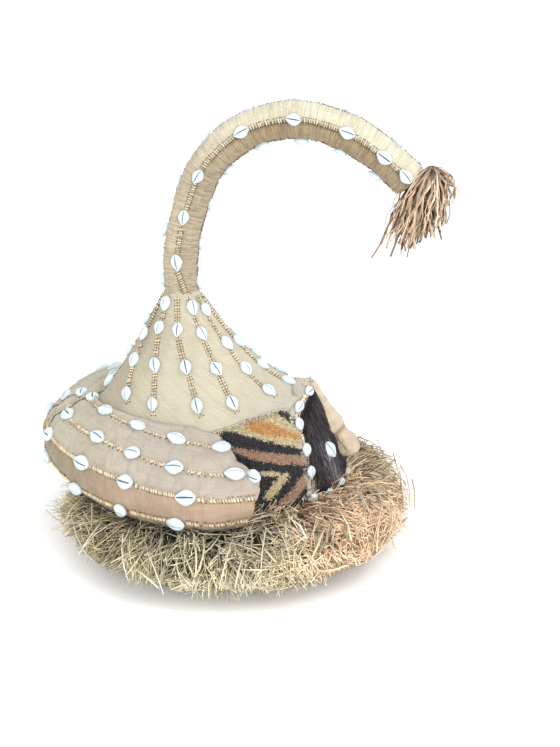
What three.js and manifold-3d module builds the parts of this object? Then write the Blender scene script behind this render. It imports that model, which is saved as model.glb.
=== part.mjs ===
// Kuba mukyeem mask: a raffia-cloth helmet with a stuffed elephant trunk and two stuffed ears,
// a fur face, cheeks of cut-pile cloth, rows of cowries and beads, and a raffia ruff to stand on.
// Millimetres, +Z up. The face looks along -Y, so the mask's own right side is -X.

import * as THREE from 'three';
import { mergeVertices } from 'three/addons/utils/BufferGeometryUtils.js';
import Module from 'manifold-3d';

const wasm = await Module();
wasm.setup();

// Clearance between pieces that are sewn onto each other
const GAP = 0.4;
// The same under a row that lies across the facets of a face layer
const DRAPED_GAP = 1.3;

// Hood: a cone that flares onto the brow, over a drum for the head
const HOOD = {
  wall: 4,
  facets: 32,
  topZ: 290,
  topY: 57,
  topRadius: 20,
  baseHalfWidth: 88,
  baseFrontY: -90,
  baseBackY: 165,
  sideZ: 152,
  browRise: 32,
  backRise: 9,
  chinZ: 78,
  chinY: -133,
  bottomZ: 8,
  bottomFrontY: -128,
  bottomBackY: 126,
  bottomHalfWidth: 86,
  drumHalfWidth: 92,
  drumCentreY: 10,
};
const CONE_RINGS = [0, 0.13, 0.355, 0.6, 0.88, 1];
const DRUM_RINGS = [0.2, 0.4, 0.6, 0.8, 1];

// Trunk: a stuffed tube that rises from the cone, arches forward and droops
const TRUNK = { radius: 18.5, sides: 12, spans: 16, endRound: 9 };
const TRUNK_LINE = [
  [57, 290.5], [56, 335], [45, 382], [23, 430], [-20, 465], [-76, 476], [-130, 461], [-171, 434], [-196, 411],
];

// Raffia tassel on the trunk's end: y, z, radius and jaggedness of its rings, from the knot down
const TASSEL_RINGS = [
  [-196, 414, 9, 0], [-214, 424, 10, 0], [-213, 402, 21, 1], [-210, 374, 28, 2], [-205, 348, 34, 7],
];
const TASSEL = { sides: 16, flatness: 0.72 };

// Ears: two stuffed crescents that meet behind the head and run out to a thick rim.
// The rim's plan is an oval, turned towards the left ear, which is also carried higher.
const RIM = { centreY: 50, halfWidth: 141, halfLength: 200, turn: 25, seamAngle: -33.7, seamZ: 117 };
const EAR = {
  spans: 9,
  bulge: 8,
  bandHeight: 29,
  bandTuck: 3,
  belly: 9,
  rootDrop: 34,
  root: 5,
  tipTaper: 0.86,
  tipLead: 28,
  tipFrom: 0.85,
};
// settle is how fast the rim leaves the seam's height for endZ. The inner row, the middle row and the upper
// edge of the rim run at shares of the way from the root to the rim, at the seam and at the front end.
const EARS = {
  right: {
    side: -1,
    rimEnd: -137,
    rootEnd: 107,
    endZ: 103,
    settle: 1.6,
    inner: [0.1, 0.3],
    middle: [0.45, 0.7],
    edge: [0.88, 1],
  },
  left: {
    side: 1,
    rimEnd: 92,
    rootEnd: 108,
    endZ: 156,
    settle: 2,
    inner: [0.3, 0.3],
    middle: [0.7, 0.7],
    edge: [1, 1],
  },
};

// Rows of beads and cowries: half-width and height of the bead line and of a shell
const BEAD = { halfWidth: 2, height: 2.6 };
const SHELL = { halfWidth: 6.3, height: 6.2, small: 17.5, large: 22 };
// How far round the cone each of its rows runs, in degrees from the back, and how far down its shells are
const CONE_ROW_TURNS = [5, 37, 66, 96, 120, 148, 174, 200, 226, 253, 281, 310, 338];
const CONE_SHELLS = [0.25, 0.54, 0.845];
const HIGH_CONE_SHELLS = { 120: 0.09, 148: 0.13, 226: 0.09, 253: 0.13 };
// Shells along the trunk and along the ears' rows, as shares of the row
const TRUNK_SHELLS = {
  sides: [0.094, 0.219, 0.335, 0.5, 0.642, 0.785, 0.9, 0.975],
  topAndUnder: [0.03, 0.156, 0.281, 0.406, 0.531, 0.656, 0.781, 0.906],
};
const EAR_SHELLS = {
  inner: [0.06, 0.29, 0.52, 0.74, 0.93],
  middle: [0.12, 0.365, 0.54, 0.68, 0.875, 1],
  upper_rim: [0.12, 0.375, 0.57, 0.76],
  lower_rim: [0.11, 0.365, 0.565, 0.75],
};

// Face: layers sewn over the front of the drum
const LAYER = { pelt: 4, border: 4.6, cheek: 4, chin: 5 };
const EYE = { x: 25, z: 117, length: 17 };

// Nose: y, z and radius of its rings, from the root on the brow to the end of the bulb
const NOSE_RINGS = [
  [-93, 184, 5], [-104, 163, 8], [-115, 143, 11.5], [-121, 133, 13], [-126, 127.5, 11.5], [-131, 119, 14.5],
  [-135, 109, 13], [-136, 101, 7],
];
const NOSE_SIDES = 10;

// Ruff: a thick ring of raffia round the neck, flat underneath
const RUFF = { facets: 32, outerRadius: 211, raggedness: 3.5, frontRise: 9, bury: 6 };

const BACK = new THREE.Vector3(0, 1, 0);
const UP = new THREE.Vector3(0, 0, 1);

const lerp = THREE.MathUtils.lerp;
const smooth = (share) => THREE.MathUtils.smoothstep(share, 0, 1);
const radians = THREE.MathUtils.degToRad;


// Skins and solids

// Joins each ring of points to the next, and closes both ends with fans unless the rings run in a loop.
function loft(rings, loop = false) {
  const count = rings[0].length;
  const points = rings.flat();
  const triangles = [];
  const spans = loop ? rings.length : rings.length - 1;
  for (let row = 0; row < spans; row += 1) {
    const next = (row + 1) % rings.length;
    for (let i = 0; i < count; i += 1) {
      const j = (i + 1) % count;
      const corners = [row * count + i, row * count + j, next * count + j, next * count + i];
      triangles.push(corners[0], corners[1], corners[2], corners[0], corners[2], corners[3]);
    }
  }
  if (!loop) {
    for (const [row, turned] of [[0, false], [rings.length - 1, true]]) {
      const middle = points.length;
      const sum = rings[row].reduce((total, point) => total.add(point), new THREE.Vector3());
      points.push(sum.divideScalar(count));
      for (let i = 0; i < count; i += 1) {
        const edge = [row * count + i, row * count + ((i + 1) % count)];
        triangles.push(middle, ...(turned ? edge : edge.reverse()));
      }
    }
  }
  const geometry = new THREE.BufferGeometry().setFromPoints(points);
  geometry.setIndex(signedVolume(points, triangles) < 0 ? triangles.reverse() : triangles);
  return geometry;
}

function signedVolume(points, triangles) {
  let total = 0;
  for (let i = 0; i < triangles.length; i += 3) {
    const [a, b, c] = [points[triangles[i]], points[triangles[i + 1]], points[triangles[i + 2]]];
    total += a.dot(new THREE.Vector3().crossVectors(b, c));
  }
  return total;
}

function solid(geometry) {
  const bare = geometry.clone();
  bare.deleteAttribute('normal');
  bare.deleteAttribute('uv');
  const merged = mergeVertices(bare, 1e-4);
  const mesh = new wasm.Mesh({
    numProp: 3,
    vertProperties: new Float32Array(merged.attributes.position.array),
    triVerts: new Uint32Array(merged.index.array),
  });
  return new wasm.Manifold(mesh);
}

function skin(body) {
  const { vertProperties, triVerts } = body.getMesh();
  const geometry = new THREE.BufferGeometry();
  geometry.setAttribute('position', new THREE.BufferAttribute(new Float32Array(vertProperties), 3));
  geometry.setIndex(new THREE.BufferAttribute(new Uint32Array(triVerts), 1));
  return geometry;
}


// Hood

// turn runs once round the hood: 0 at the back, a quarter at the mask's right side, a half at the face.
function baseHeight(turn) {
  const along = Math.cos(turn);
  const rise = along > 0 ? HOOD.backRise * along ** 2 : HOOD.browRise * Math.abs(along) ** 1.2;
  return HOOD.sideZ + rise;
}

// A point on the cone: share is 0 at the trunk and 1 where the ears and the face begin.
function conePoint(turn, share) {
  const baseMiddle = (HOOD.baseFrontY + HOOD.baseBackY) / 2;
  const baseHalf = (HOOD.baseBackY - HOOD.baseFrontY) / 2;
  const flare = 1.25 + 0.6 * Math.max(0, -Math.cos(turn)) ** 2;
  const drop = 1 - (1 - share) ** flare;
  return new THREE.Vector3(
    -Math.sin(turn) * lerp(HOOD.topRadius, HOOD.baseHalfWidth, share),
    lerp(HOOD.topY + HOOD.topRadius * Math.cos(turn), baseMiddle + baseHalf * Math.cos(turn), share),
    lerp(HOOD.topZ, baseHeight(turn), drop),
  );
}

// A point on the drum: share is 0 at the cone's base and 1 at the neck.
function drumPoint(turn, share) {
  const z = lerp(baseHeight(turn), HOOD.bottomZ, share);
  const aboveChin = (z - HOOD.chinZ) / (HOOD.sideZ + HOOD.browRise - HOOD.chinZ);
  const belowChin = (HOOD.chinZ - z) / (HOOD.chinZ - HOOD.bottomZ);
  const chinToNeck = lerp(HOOD.chinY, HOOD.bottomFrontY, smooth(belowChin));
  const frontY = z > HOOD.chinZ ? lerp(HOOD.chinY, HOOD.baseFrontY, aboveChin) : chinToNeck;
  const backY = lerp(HOOD.baseBackY, HOOD.bottomBackY, smooth(share * 1.4));
  const middleY = lerp((HOOD.baseFrontY + HOOD.baseBackY) / 2, HOOD.drumCentreY, smooth(share * 2));
  const reach = Math.cos(turn) > 0 ? backY - middleY : middleY - frontY;
  const narrowing = smooth((share - 0.5) * 2);
  const widening = lerp(HOOD.baseHalfWidth, HOOD.drumHalfWidth, smooth(share * 3));
  const halfWidth = lerp(widening, HOOD.bottomHalfWidth, narrowing);
  return new THREE.Vector3(-Math.sin(turn) * halfWidth, middleY + reach * Math.cos(turn), z);
}

// The hood's rings from the trunk down to the neck, grown outwards by grow, or inwards if it is negative.
function hoodRings(grow, facets) {
  const rows = [
    ...CONE_RINGS.map((share) => (turn) => conePoint(turn, share).addScaledVector(UP, grow)),
    ...DRUM_RINGS.map((share) => (turn) => drumPoint(turn, share)),
  ];
  return rows.map((pointAt) => {
    const ring = [];
    for (let i = 0; i < facets; i += 1) {
      const turn = (i / facets) * 2 * Math.PI;
      const outwards = new THREE.Vector3(-Math.sin(turn) * 1.25, Math.cos(turn), 0).normalize();
      ring.push(pointAt(turn).addScaledVector(outwards, grow));
    }
    return ring;
  });
}

// The hood with no hollow in it. Its foot is carried down by foot, so that it can cut a way through.
function hoodBlock(grow, foot = 0, facets = HOOD.facets) {
  const rings = hoodRings(grow, facets);
  for (const point of rings.at(-1)) {
    point.z -= foot;
  }
  return solid(loft(rings));
}

function makeHood() {
  return hoodBlock(0).subtract(hoodBlock(-HOOD.wall, 2, HOOD.facets / 2));
}


// Trunk and tassel

const trunkPath = new THREE.CatmullRomCurve3(TRUNK_LINE.map(([y, z]) => new THREE.Vector3(0, y, z)));
const trunkFrames = trunkPath.computeFrenetFrames(TRUNK.spans, false);
const trunkCentres = trunkPath.getSpacedPoints(TRUNK.spans);

// The unit vector from the trunk's middle: 0 to the right side, 90 to the underside, 270 to the top.
function trunkOutwards(station, degrees) {
  const angle = radians(degrees);
  return trunkFrames.normals[station].clone().multiplyScalar(Math.cos(angle))
    .addScaledVector(trunkFrames.binormals[station], Math.sin(angle));
}

function trunkBody(grow) {
  const section = new THREE.Shape();
  const radius = TRUNK.radius + grow;
  for (let i = 0; i < TRUNK.sides; i += 1) {
    const angle = (i / TRUNK.sides) * 2 * Math.PI;
    const corner = [radius * Math.cos(angle), radius * Math.sin(angle)];
    if (i === 0) {
      section.moveTo(...corner);
    } else {
      section.lineTo(...corner);
    }
  }
  const tube = new THREE.ExtrudeGeometry(section, { extrudePath: trunkPath, steps: TRUNK.spans });
  const roundEnd = new THREE.SphereGeometry(radius * 0.985, TRUNK.sides, 6);
  roundEnd.scale(1, (TRUNK.endRound + grow) / radius, 1);
  const heading = trunkFrames.tangents.at(-1);
  roundEnd.applyQuaternion(new THREE.Quaternion().setFromUnitVectors(BACK, heading));
  roundEnd.translate(...trunkCentres.at(-1).toArray());
  return solid(tube).add(solid(roundEnd));
}

function makeTassel() {
  const rings = TASSEL_RINGS.map(([y, z, radius, jag]) => {
    const ring = [];
    for (let i = 0; i < TASSEL.sides; i += 1) {
      const angle = (i / TASSEL.sides) * 2 * Math.PI;
      const tooth = i % 2 === 0 ? jag : -jag;
      const reach = radius + tooth * 0.5;
      ring.push(new THREE.Vector3(
        reach * TASSEL.flatness * Math.cos(angle),
        y + reach * Math.sin(angle),
        z + tooth,
      ));
    }
    return ring;
  });
  return solid(loft(rings)).subtract(trunkBody(GAP));
}


// Ears

// A point of the ears' rim seen from above; angle is 0 at the oval's far end.
function rimPlan(angle) {
  const lengthways = new THREE.Vector3(Math.sin(radians(RIM.turn)), Math.cos(radians(RIM.turn)), 0);
  const across = new THREE.Vector3(lengthways.y, -lengthways.x, 0);
  return new THREE.Vector3(0, RIM.centreY, 0)
    .addScaledVector(lengthways, RIM.halfLength * Math.cos(radians(angle)))
    .addScaledVector(across, RIM.halfWidth * Math.sin(radians(angle)));
}

// The ear's section at one station, from the inner top edge over the rim to the inner lower edge.
// share is 0 at the seam behind the head and 1 at the ear's front end.
function earSection(ear, share, grow = 0) {
  const turn = -ear.side * radians(ear.rootEnd * share);
  const root = conePoint(turn, 1);
  const rim = rimPlan(lerp(RIM.seamAngle, ear.rimEnd, share));
  rim.z = lerp(RIM.seamZ, ear.endZ, smooth(share * ear.settle));
  const outwards = new THREE.Vector3(rim.x - root.x, rim.y - root.y, 0);
  const tip = smooth((share - EAR.tipFrom) / (1 - EAR.tipFrom));
  const reach = outwards.length() * lerp(1, EAR.tipTaper, tip);
  outwards.normalize();
  const ahead = rimPlan(lerp(RIM.seamAngle, ear.rimEnd, share + 0.01)).setZ(0);
  ahead.sub(rimPlan(lerp(RIM.seamAngle, ear.rimEnd, share)).setZ(0)).normalize();
  const lead = EAR.tipLead * tip;
  const at = (out, z, forward = 0) => root.clone()
    .addScaledVector(outwards, out)
    .addScaledVector(ahead, lead * forward)
    .setZ(z);
  const steep = new THREE.Vector2(root.z - rim.z, reach).normalize();
  const onTop = (along, forward) => {
    const puff = 4 * EAR.bulge * along * (1 - along);
    return at(reach * along + steep.x * puff, lerp(root.z, rim.z, along) + steep.y * puff, forward);
  };
  const [inner, middle, edge] = [ear.inner, ear.middle, ear.edge]
    .map(([atSeam, atEnd]) => lerp(atSeam, atEnd, smooth((share - 0.4) / 0.6)));
  const points = [
    at(-EAR.root, root.z + 1),
    onTop(inner, 0.1),
    onTop(middle, 1),
    onTop((middle + edge) / 2, 1),
    onTop(edge, 0.7),
    at(reach - EAR.bandTuck, rim.z - EAR.bandHeight, 0.45),
    at(reach * 0.6, rim.z - EAR.bandHeight - EAR.belly, 0.4),
    at(-EAR.root, rim.z - EAR.rootDrop),
  ];
  const seamGap = share === 0 ? ear.side * (GAP / 2 - grow) : 0;
  const heart = at(reach / 2, rim.z - EAR.bandHeight / 2, 0.5);
  return points.map((point) => {
    const away = point.clone().sub(heart).normalize();
    const swollen = point.addScaledVector(away, grow * 1.5).add(new THREE.Vector3(seamGap, 0, 0));
    return swollen.addScaledVector(ahead, share === 1 ? grow * 2 : 0);
  });
}

const EAR_ROWS = { inner: 1, middle: 2, upper_rim: 4, lower_rim: 5 };

function earSections(ear, grow = 0) {
  const sections = [];
  for (let station = 0; station <= EAR.spans; station += 1) {
    sections.push(earSection(ear, station / EAR.spans, grow));
  }
  return sections;
}

function earBlock(ear, grow) {
  return solid(loft(earSections(ear, grow)));
}


// Rows of beads and cowries

// How much of a shell's full size a row has at each distance from the shell's middle, in shell lengths
const SWELLING = [[-0.5, 0], [-0.2, 1], [0.25, 0.9], [0.5, 0]];

function swellingAt(distance) {
  const after = SWELLING.findIndex(([place]) => distance < place);
  if (after <= 0) {
    return 0;
  }
  const [[from, low], [to, high]] = [SWELLING[after - 1], SWELLING[after]];
  return lerp(low, high, (distance - from) / (to - from));
}

// A flat-bottomed line of beads along points, swelling into a cowrie at each share of its length in shells.
function beadRow(points, normals, shells, shellLength, standoff = GAP) {
  const reached = [0];
  for (let i = 1; i < points.length; i += 1) {
    reached.push(reached[i - 1] + points[i].distanceTo(points[i - 1]));
  }
  const whole = reached.at(-1);
  const room = shellLength / 2;
  const middles = shells.map((share) => THREE.MathUtils.clamp(share * whole, room, whole - room));
  const ends = middles.flatMap((middle) => SWELLING.map(([place]) => middle + place * shellLength));
  const sorted = [...reached, ...ends].sort((a, b) => a - b);
  const places = sorted.filter((place, i) => i === 0 || place - sorted[i - 1] > 0.4);
  const stations = places.map((place) => {
    const passed = reached.filter((length) => length <= place).length;
    const span = Math.min(passed, points.length - 1) - 1;
    const share = (place - reached[span]) / (reached[span + 1] - reached[span]);
    const swelling = Math.max(0, ...middles.map((middle) => swellingAt((place - middle) / shellLength)));
    return {
      at: points[span].clone().lerp(points[span + 1], share),
      normal: normals[span].clone().lerp(normals[span + 1], share).normalize(),
      halfWidth: lerp(BEAD.halfWidth, SHELL.halfWidth, swelling),
      height: lerp(BEAD.height, SHELL.height, swelling),
    };
  });
  const rings = stations.map((station, i) => {
    const before = stations[Math.max(0, i - 1)].at;
    const after = stations[Math.min(stations.length - 1, i + 1)].at;
    const along = after.clone().sub(before).normalize();
    const sideways = along.cross(station.normal).normalize();
    const foot = station.at.clone().addScaledVector(station.normal, standoff);
    return [
      foot.clone().addScaledVector(sideways, -station.halfWidth),
      foot.clone().addScaledVector(sideways, station.halfWidth),
      foot.clone().addScaledVector(station.normal, station.height),
    ];
  });
  return solid(loft(rings));
}

function hoodNormal(turn, pointAt, share) {
  const step = 0.02;
  const round = pointAt(turn + step, share).sub(pointAt(turn - step, share));
  const down = pointAt(turn, Math.min(1, share + step)).sub(pointAt(turn, Math.max(0, share - step)));
  return down.cross(round).normalize();
}

// A row down the cone, from the trunk to just above the ears or the brow.
function coneRow(degrees) {
  const turn = radians(degrees);
  const end = lerp(0.94, 0.82, smooth(-Math.cos(turn) * 2 - 1));
  const shares = [0.015, ...CONE_RINGS.slice(1, -2), 0.8, end];
  const points = shares.map((share) => conePoint(turn, share));
  const normals = shares.map((share) => hoodNormal(turn, conePoint, share));
  const high = HIGH_CONE_SHELLS[degrees];
  return beadRow(points, normals, high ? [high, ...CONE_SHELLS] : CONE_SHELLS, SHELL.small, DRAPED_GAP);
}

function trunkRow(degrees, shells) {
  const points = [];
  const normals = [];
  for (let station = 0; station <= TRUNK.spans; station += 1) {
    const outwards = trunkOutwards(station, degrees);
    points.push(trunkCentres[station].clone().addScaledVector(outwards, TRUNK.radius));
    normals.push(outwards);
  }
  points[0].lerp(points[1], 0.15);
  return beadRow(points, normals, shells, SHELL.small);
}

function earRow(ear, corner, shells) {
  const sections = earSections(ear);
  const last = sections.length - 1;
  const points = sections.map((section) => section[corner].clone());
  const normals = sections.map((section, station) => {
    const along = sections[Math.min(last, station + 1)][corner].clone();
    along.sub(sections[Math.max(0, station - 1)][corner]);
    const before = section[corner].clone().sub(section[corner - 1]).normalize();
    const after = section[corner + 1].clone().sub(section[corner]).normalize();
    return before.add(after).cross(along).normalize().multiplyScalar(-ear.side);
  });
  points[0].lerp(points[1], 0.1);
  points[last].lerp(points[last - 1], 0.12);
  return beadRow(points, normals, shells, SHELL.large);
}


// Face

// One cloth or pelt layer over the hood, from grow low to grow high.
function layer(low, high) {
  return hoodBlock(high).subtract(hoodBlock(low, 2));
}

// Both halves of a face outline drawn on the front view: half draws from the top middle to the bottom middle.
function frontPrism(half) {
  const outline = new THREE.Shape();
  half(outline);
  const rightHalf = outline.getPoints(6);
  const leftHalf = rightHalf.map((point) => new THREE.Vector2(-point.x, point.y)).reverse();
  const whole = new THREE.Shape([...rightHalf, ...leftHalf]);
  const prism = new THREE.ExtrudeGeometry(whole, { depth: 200, bevelEnabled: false });
  prism.rotateX(Math.PI / 2);
  return solid(prism);
}

function peltOutline(shape, grow = 0) {
  shape.moveTo(0, 182 + grow);
  shape.quadraticCurveTo(-44 - grow, 177 + grow, -50 - grow, 148);
  shape.lineTo(-54 - grow, 102);
  shape.quadraticCurveTo(-54 - grow, 84 - grow, -42, 81 - grow);
  shape.lineTo(0, 87 - grow);
}

function borderOutline(shape, grow = 0) {
  shape.moveTo(0, 190 + grow);
  shape.quadraticCurveTo(-56 - grow, 187 + grow, -62 - grow, 150);
  shape.lineTo(-66 - grow, 101);
  shape.lineTo(-66 - grow, 84 - grow);
  shape.lineTo(0, 84 - grow);
}

function chinOutline(shape) {
  shape.moveTo(0, 100);
  shape.lineTo(-74, 100);
  shape.lineTo(-74, 73);
  shape.quadraticCurveTo(-60, 64, 0, 62);
}

function makePelt() {
  return layer(GAP, LAYER.pelt).intersect(frontPrism((shape) => peltOutline(shape)));
}

function makeBorder() {
  const band = layer(GAP, LAYER.border).intersect(frontPrism((shape) => borderOutline(shape)));
  const legEnds = new THREE.BoxGeometry(200, 300, 60).translate(0, -100, 84 - 30 + 3);
  return band.subtract(frontPrism((shape) => peltOutline(shape, GAP))).subtract(solid(legEnds));
}

function makeChin() {
  const cloth = layer(GAP, LAYER.chin).intersect(frontPrism(chinOutline));
  const borderLegs = new THREE.BoxGeometry(200, 300, 60).translate(0, -100, 87 - GAP + 30);
  return cloth.subtract(solid(borderLegs)).subtract(frontPrism((shape) => peltOutline(shape, GAP)));
}

// A panel of cut-pile cloth between the face border and the ear, drawn on the side view.
function makeCheek(ear) {
  const outline = new THREE.Shape();
  outline.moveTo(22, 136);
  outline.lineTo(16, 150);
  outline.quadraticCurveTo(-30, 166, -58, 172);
  outline.lineTo(-92, 150);
  outline.lineTo(-110, 60);
  outline.lineTo(-40, 60);
  const prism = new THREE.ExtrudeGeometry(outline, { depth: 200, bevelEnabled: false });
  const axes = new THREE.Matrix4().makeBasis(BACK, UP, new THREE.Vector3(1, 0, 0));
  prism.applyMatrix4(axes);
  prism.translate(ear.side < 0 ? -200 : 0, 0, 0);
  const inFront = frontPrism((shape) => borderOutline(shape, GAP));
  const overChin = frontPrism(chinOutline);
  const panel = layer(GAP, LAYER.cheek).intersect(solid(prism));
  return panel.subtract(inFront).subtract(overChin).subtract(earBlock(ear, GAP));
}

function makeNose() {
  const rings = NOSE_RINGS.map(([y, z, radius], i) => {
    const [beforeY, beforeZ] = NOSE_RINGS[Math.max(0, i - 1)];
    const [afterY, afterZ] = NOSE_RINGS[Math.min(NOSE_RINGS.length - 1, i + 1)];
    const across = new THREE.Vector3(0, afterZ - beforeZ, beforeY - afterY).normalize();
    const ring = [];
    for (let side = 0; side < NOSE_SIDES; side += 1) {
      const angle = (side / NOSE_SIDES) * 2 * Math.PI;
      const point = new THREE.Vector3(radius * Math.cos(angle), y, z);
      ring.push(point.addScaledVector(across, radius * Math.sin(angle)));
    }
    return ring;
  });
  return solid(loft(rings)).subtract(hoodBlock(LAYER.border + GAP));
}

// Drops points of the front view onto a mesh, and gives the points and the normals there.
function drape(mesh, frontPoints) {
  const points = [];
  const normals = [];
  for (const [x, z] of frontPoints) {
    const ray = new THREE.Raycaster(new THREE.Vector3(x, -400, z), BACK);
    const [hit] = ray.intersectObject(mesh);
    points.push(hit.point);
    normals.push(hit.face.normal.clone());
  }
  return { points, normals };
}

function cowrie(mesh, x, z, length) {
  const { points, normals } = drape(mesh, [[x, z - length / 2 - 1], [x, z + length / 2 + 1]]);
  return beadRow(points, normals, [0.5], length, DRAPED_GAP);
}

// The bead row down one side of the face border.
function borderRow(mesh, side) {
  const line = [[14, 186], [36, 180.5], [50, 168], [56.5, 145], [59, 122], [60.5, 102], [60.5, 89]];
  const { points, normals } = drape(mesh, line.map(([x, z]) => [side * x, z]));
  return beadRow(points, normals, [0.07, 0.3, 0.475, 0.71, 0.9], SHELL.small, DRAPED_GAP);
}

function chinRow(mesh) {
  const half = [[66, 78], [48, 77], [31, 76], [15, 75]];
  const left = half.map(([x, z]) => [-x, z]);
  const { points, normals } = drape(mesh, [...left, ...half.reverse()]);
  return beadRow(points, normals, [0.12, 0.37, 0.63, 0.88], 13, 2 * DRAPED_GAP);
}


// Ruff

function makeRuff() {
  const rings = [];
  for (let i = 0; i < RUFF.facets; i += 1) {
    const turn = (i / RUFF.facets) * 2 * Math.PI;
    const inner = drumPoint(turn, 1);
    const outwards = new THREE.Vector3(-Math.sin(turn), Math.cos(turn), 0);
    const innerReach = Math.hypot(inner.x, inner.y) - RUFF.bury;
    const ragged = RUFF.raggedness * Math.sin(i * 2.4);
    const rise = RUFF.frontRise * Math.max(0, -Math.cos(turn));
    const reachAt = (share) => lerp(innerReach, RUFF.outerRadius, share);
    const at = (share, z) => outwards.clone().multiplyScalar(reachAt(share)).setZ(z);
    rings.push([
      at(0, 0),
      at(0, 53),
      at(0.12, 54),
      at(0.32, 63 + rise + ragged * 0.4),
      at(0.7, 57 + rise * 0.8 - ragged * 0.6),
      at(0.93 + ragged * 0.006, 46 + rise * 0.5),
      at(1 + ragged * 0.012, 35),
      at(0.89 - ragged * 0.01, 17 + ragged * 0.4),
      at(0.74, 4),
      at(0.6, 0),
    ]);
  }
  return solid(loft(rings, true)).subtract(hoodBlock(GAP, 20));
}


// Materials

const material = (color, roughness) => new THREE.MeshStandardMaterial({ color, roughness, metalness: 0 });
const RAFFIA_CLOTH = material('#cdb78e', 0.95);
const EAR_CLOTH = material('#c6a47b', 0.95);
const TRUNK_CLOTH = material('#bfa172', 0.95);
const PILE_CLOTH = material('#4a3a26', 1);
const FUR = material('#241d20', 0.7);
const NOSE_CLOTH = material('#cdb487', 0.95);
const CHIN_CLOTH = material('#a79c8c', 0.95);
const RAFFIA = material('#a48c61', 0.9);
const TASSEL_RAFFIA = material('#a5785a', 0.9);
const SHELL_WHITE = material('#e2eef0', 0.35);


// Assembly

const mask = new THREE.Group();
const group = new THREE.Group();
group.add(mask);

function place(name, body, surface) {
  const mesh = new THREE.Mesh(skin(body), surface);
  mesh.name = name;
  mask.add(mesh);
  return mesh;
}

place('hood', makeHood(), RAFFIA_CLOTH);
place('trunk', trunkBody(0), TRUNK_CLOTH);
place('trunk_tassel', makeTassel(), TASSEL_RAFFIA);
place('ruff', makeRuff(), RAFFIA);
const pelt = place('face_pelt', makePelt(), FUR);
const border = place('face_border', makeBorder(), RAFFIA_CLOTH);
const chin = place('chin_cloth', makeChin(), CHIN_CLOTH);
place('nose', makeNose(), NOSE_CLOTH);

CONE_ROW_TURNS.forEach((degrees, i) => {
  place(`cone_row_${String(i + 1).padStart(2, '0')}`, coneRow(degrees), SHELL_WHITE);
});
for (const [name, degrees] of [['right', 0], ['under', 90], ['left', 180], ['top', 270]]) {
  const shells = degrees % 180 === 0 ? TRUNK_SHELLS.sides : TRUNK_SHELLS.topAndUnder;
  place(`trunk_row_${name}`, trunkRow(degrees, shells), SHELL_WHITE);
}
for (const [side, ear] of Object.entries(EARS)) {
  place(`${side}_ear`, earBlock(ear, 0).subtract(hoodBlock(GAP)), EAR_CLOTH);
  place(`${side}_cheek_cloth`, makeCheek(ear), PILE_CLOTH);
  place(`${side}_eye_shell`, cowrie(pelt, ear.side * EYE.x, EYE.z, EYE.length), SHELL_WHITE);
  place(`${side}_border_row`, borderRow(border, ear.side), SHELL_WHITE);
  for (const [row, corner] of Object.entries(EAR_ROWS)) {
    place(`${side}_ear_row_${row}`, earRow(ear, corner, EAR_SHELLS[row]), SHELL_WHITE);
  }
}
place('chin_row', chinRow(chin), SHELL_WHITE);

// The origin is the middle of the underside.
const bounds = new THREE.Box3().setFromObject(mask);
mask.position.set(-(bounds.min.x + bounds.max.x) / 2, -(bounds.min.y + bounds.max.y) / 2, -bounds.min.z);

export default group;
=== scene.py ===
# %% [markdown]
# # A Kuba mukyeem mask in raffia cloth, cowries and beads
#
# The mask is a helmet of woven raffia cloth. A stuffed elephant's trunk rises from its cap and droops
# forward, two stuffed ears run round it like a brim, and it stands on a thick ruff of loose raffia. This
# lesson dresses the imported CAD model. Every soft piece is laid over the same curves as its CAD solid, and
# the rows of shells, the fur, the pile and the raffia are then set on the finished cloth.

import math

import bpy
import numpy as np
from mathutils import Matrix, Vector
from mathutils.bvhtree import BVHTree


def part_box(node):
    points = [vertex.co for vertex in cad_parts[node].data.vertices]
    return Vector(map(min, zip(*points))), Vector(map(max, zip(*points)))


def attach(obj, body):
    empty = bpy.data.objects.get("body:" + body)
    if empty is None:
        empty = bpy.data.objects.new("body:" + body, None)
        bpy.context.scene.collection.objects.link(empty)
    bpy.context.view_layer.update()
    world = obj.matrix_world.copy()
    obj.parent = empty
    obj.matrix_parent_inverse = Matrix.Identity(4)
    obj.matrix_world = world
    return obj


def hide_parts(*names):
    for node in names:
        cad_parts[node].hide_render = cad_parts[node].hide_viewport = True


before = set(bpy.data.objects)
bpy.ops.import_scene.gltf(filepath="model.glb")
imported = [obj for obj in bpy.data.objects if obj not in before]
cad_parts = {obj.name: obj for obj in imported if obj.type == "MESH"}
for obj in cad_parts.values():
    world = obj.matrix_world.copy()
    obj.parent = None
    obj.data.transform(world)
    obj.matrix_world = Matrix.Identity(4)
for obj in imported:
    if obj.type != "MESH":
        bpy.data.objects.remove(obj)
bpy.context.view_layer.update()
chance = np.random.default_rng(11)

# %% [markdown]
# ## The camera
#
# The photograph was taken from the mask's right side, a little in front of it and a little above the ears.
# The place, turn and lens were found by laying the CAD outline over the photograph. A render from the same
# place can then be laid over it too, and each piece compared with its own part of the picture.

# %% Set the camera
CAMERA_PLACE, CAMERA_LENS, CAMERA_SENSOR = (-0.9261, -0.1649, 0.474), 40.67, 36
CAMERA_TILT, CAMERA_TURN = math.radians(73.4), math.radians(-83.32)

bpy.ops.object.select_all(action="DESELECT")
bpy.ops.object.camera_add(location=CAMERA_PLACE, rotation=(CAMERA_TILT, 0, CAMERA_TURN))
camera = bpy.context.object
camera.name = "camera"
camera.data.lens = CAMERA_LENS
camera.data.sensor_width = CAMERA_SENSOR
bpy.context.scene.camera = camera
print("camera lens", camera.data.lens, "mm")

# %% [markdown]
# ## Floor and light
#
# The photograph has a plain white ground and soft daylight from above, so the floor is a pale plane and the
# world is a white dome. A large lamp above the face gives the shells their edge, and a weak one rounds the
# back of the cap. A low one beside the camera reaches in under the ears, so that the raffia shows bright
# blades over dark gaps.

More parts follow.
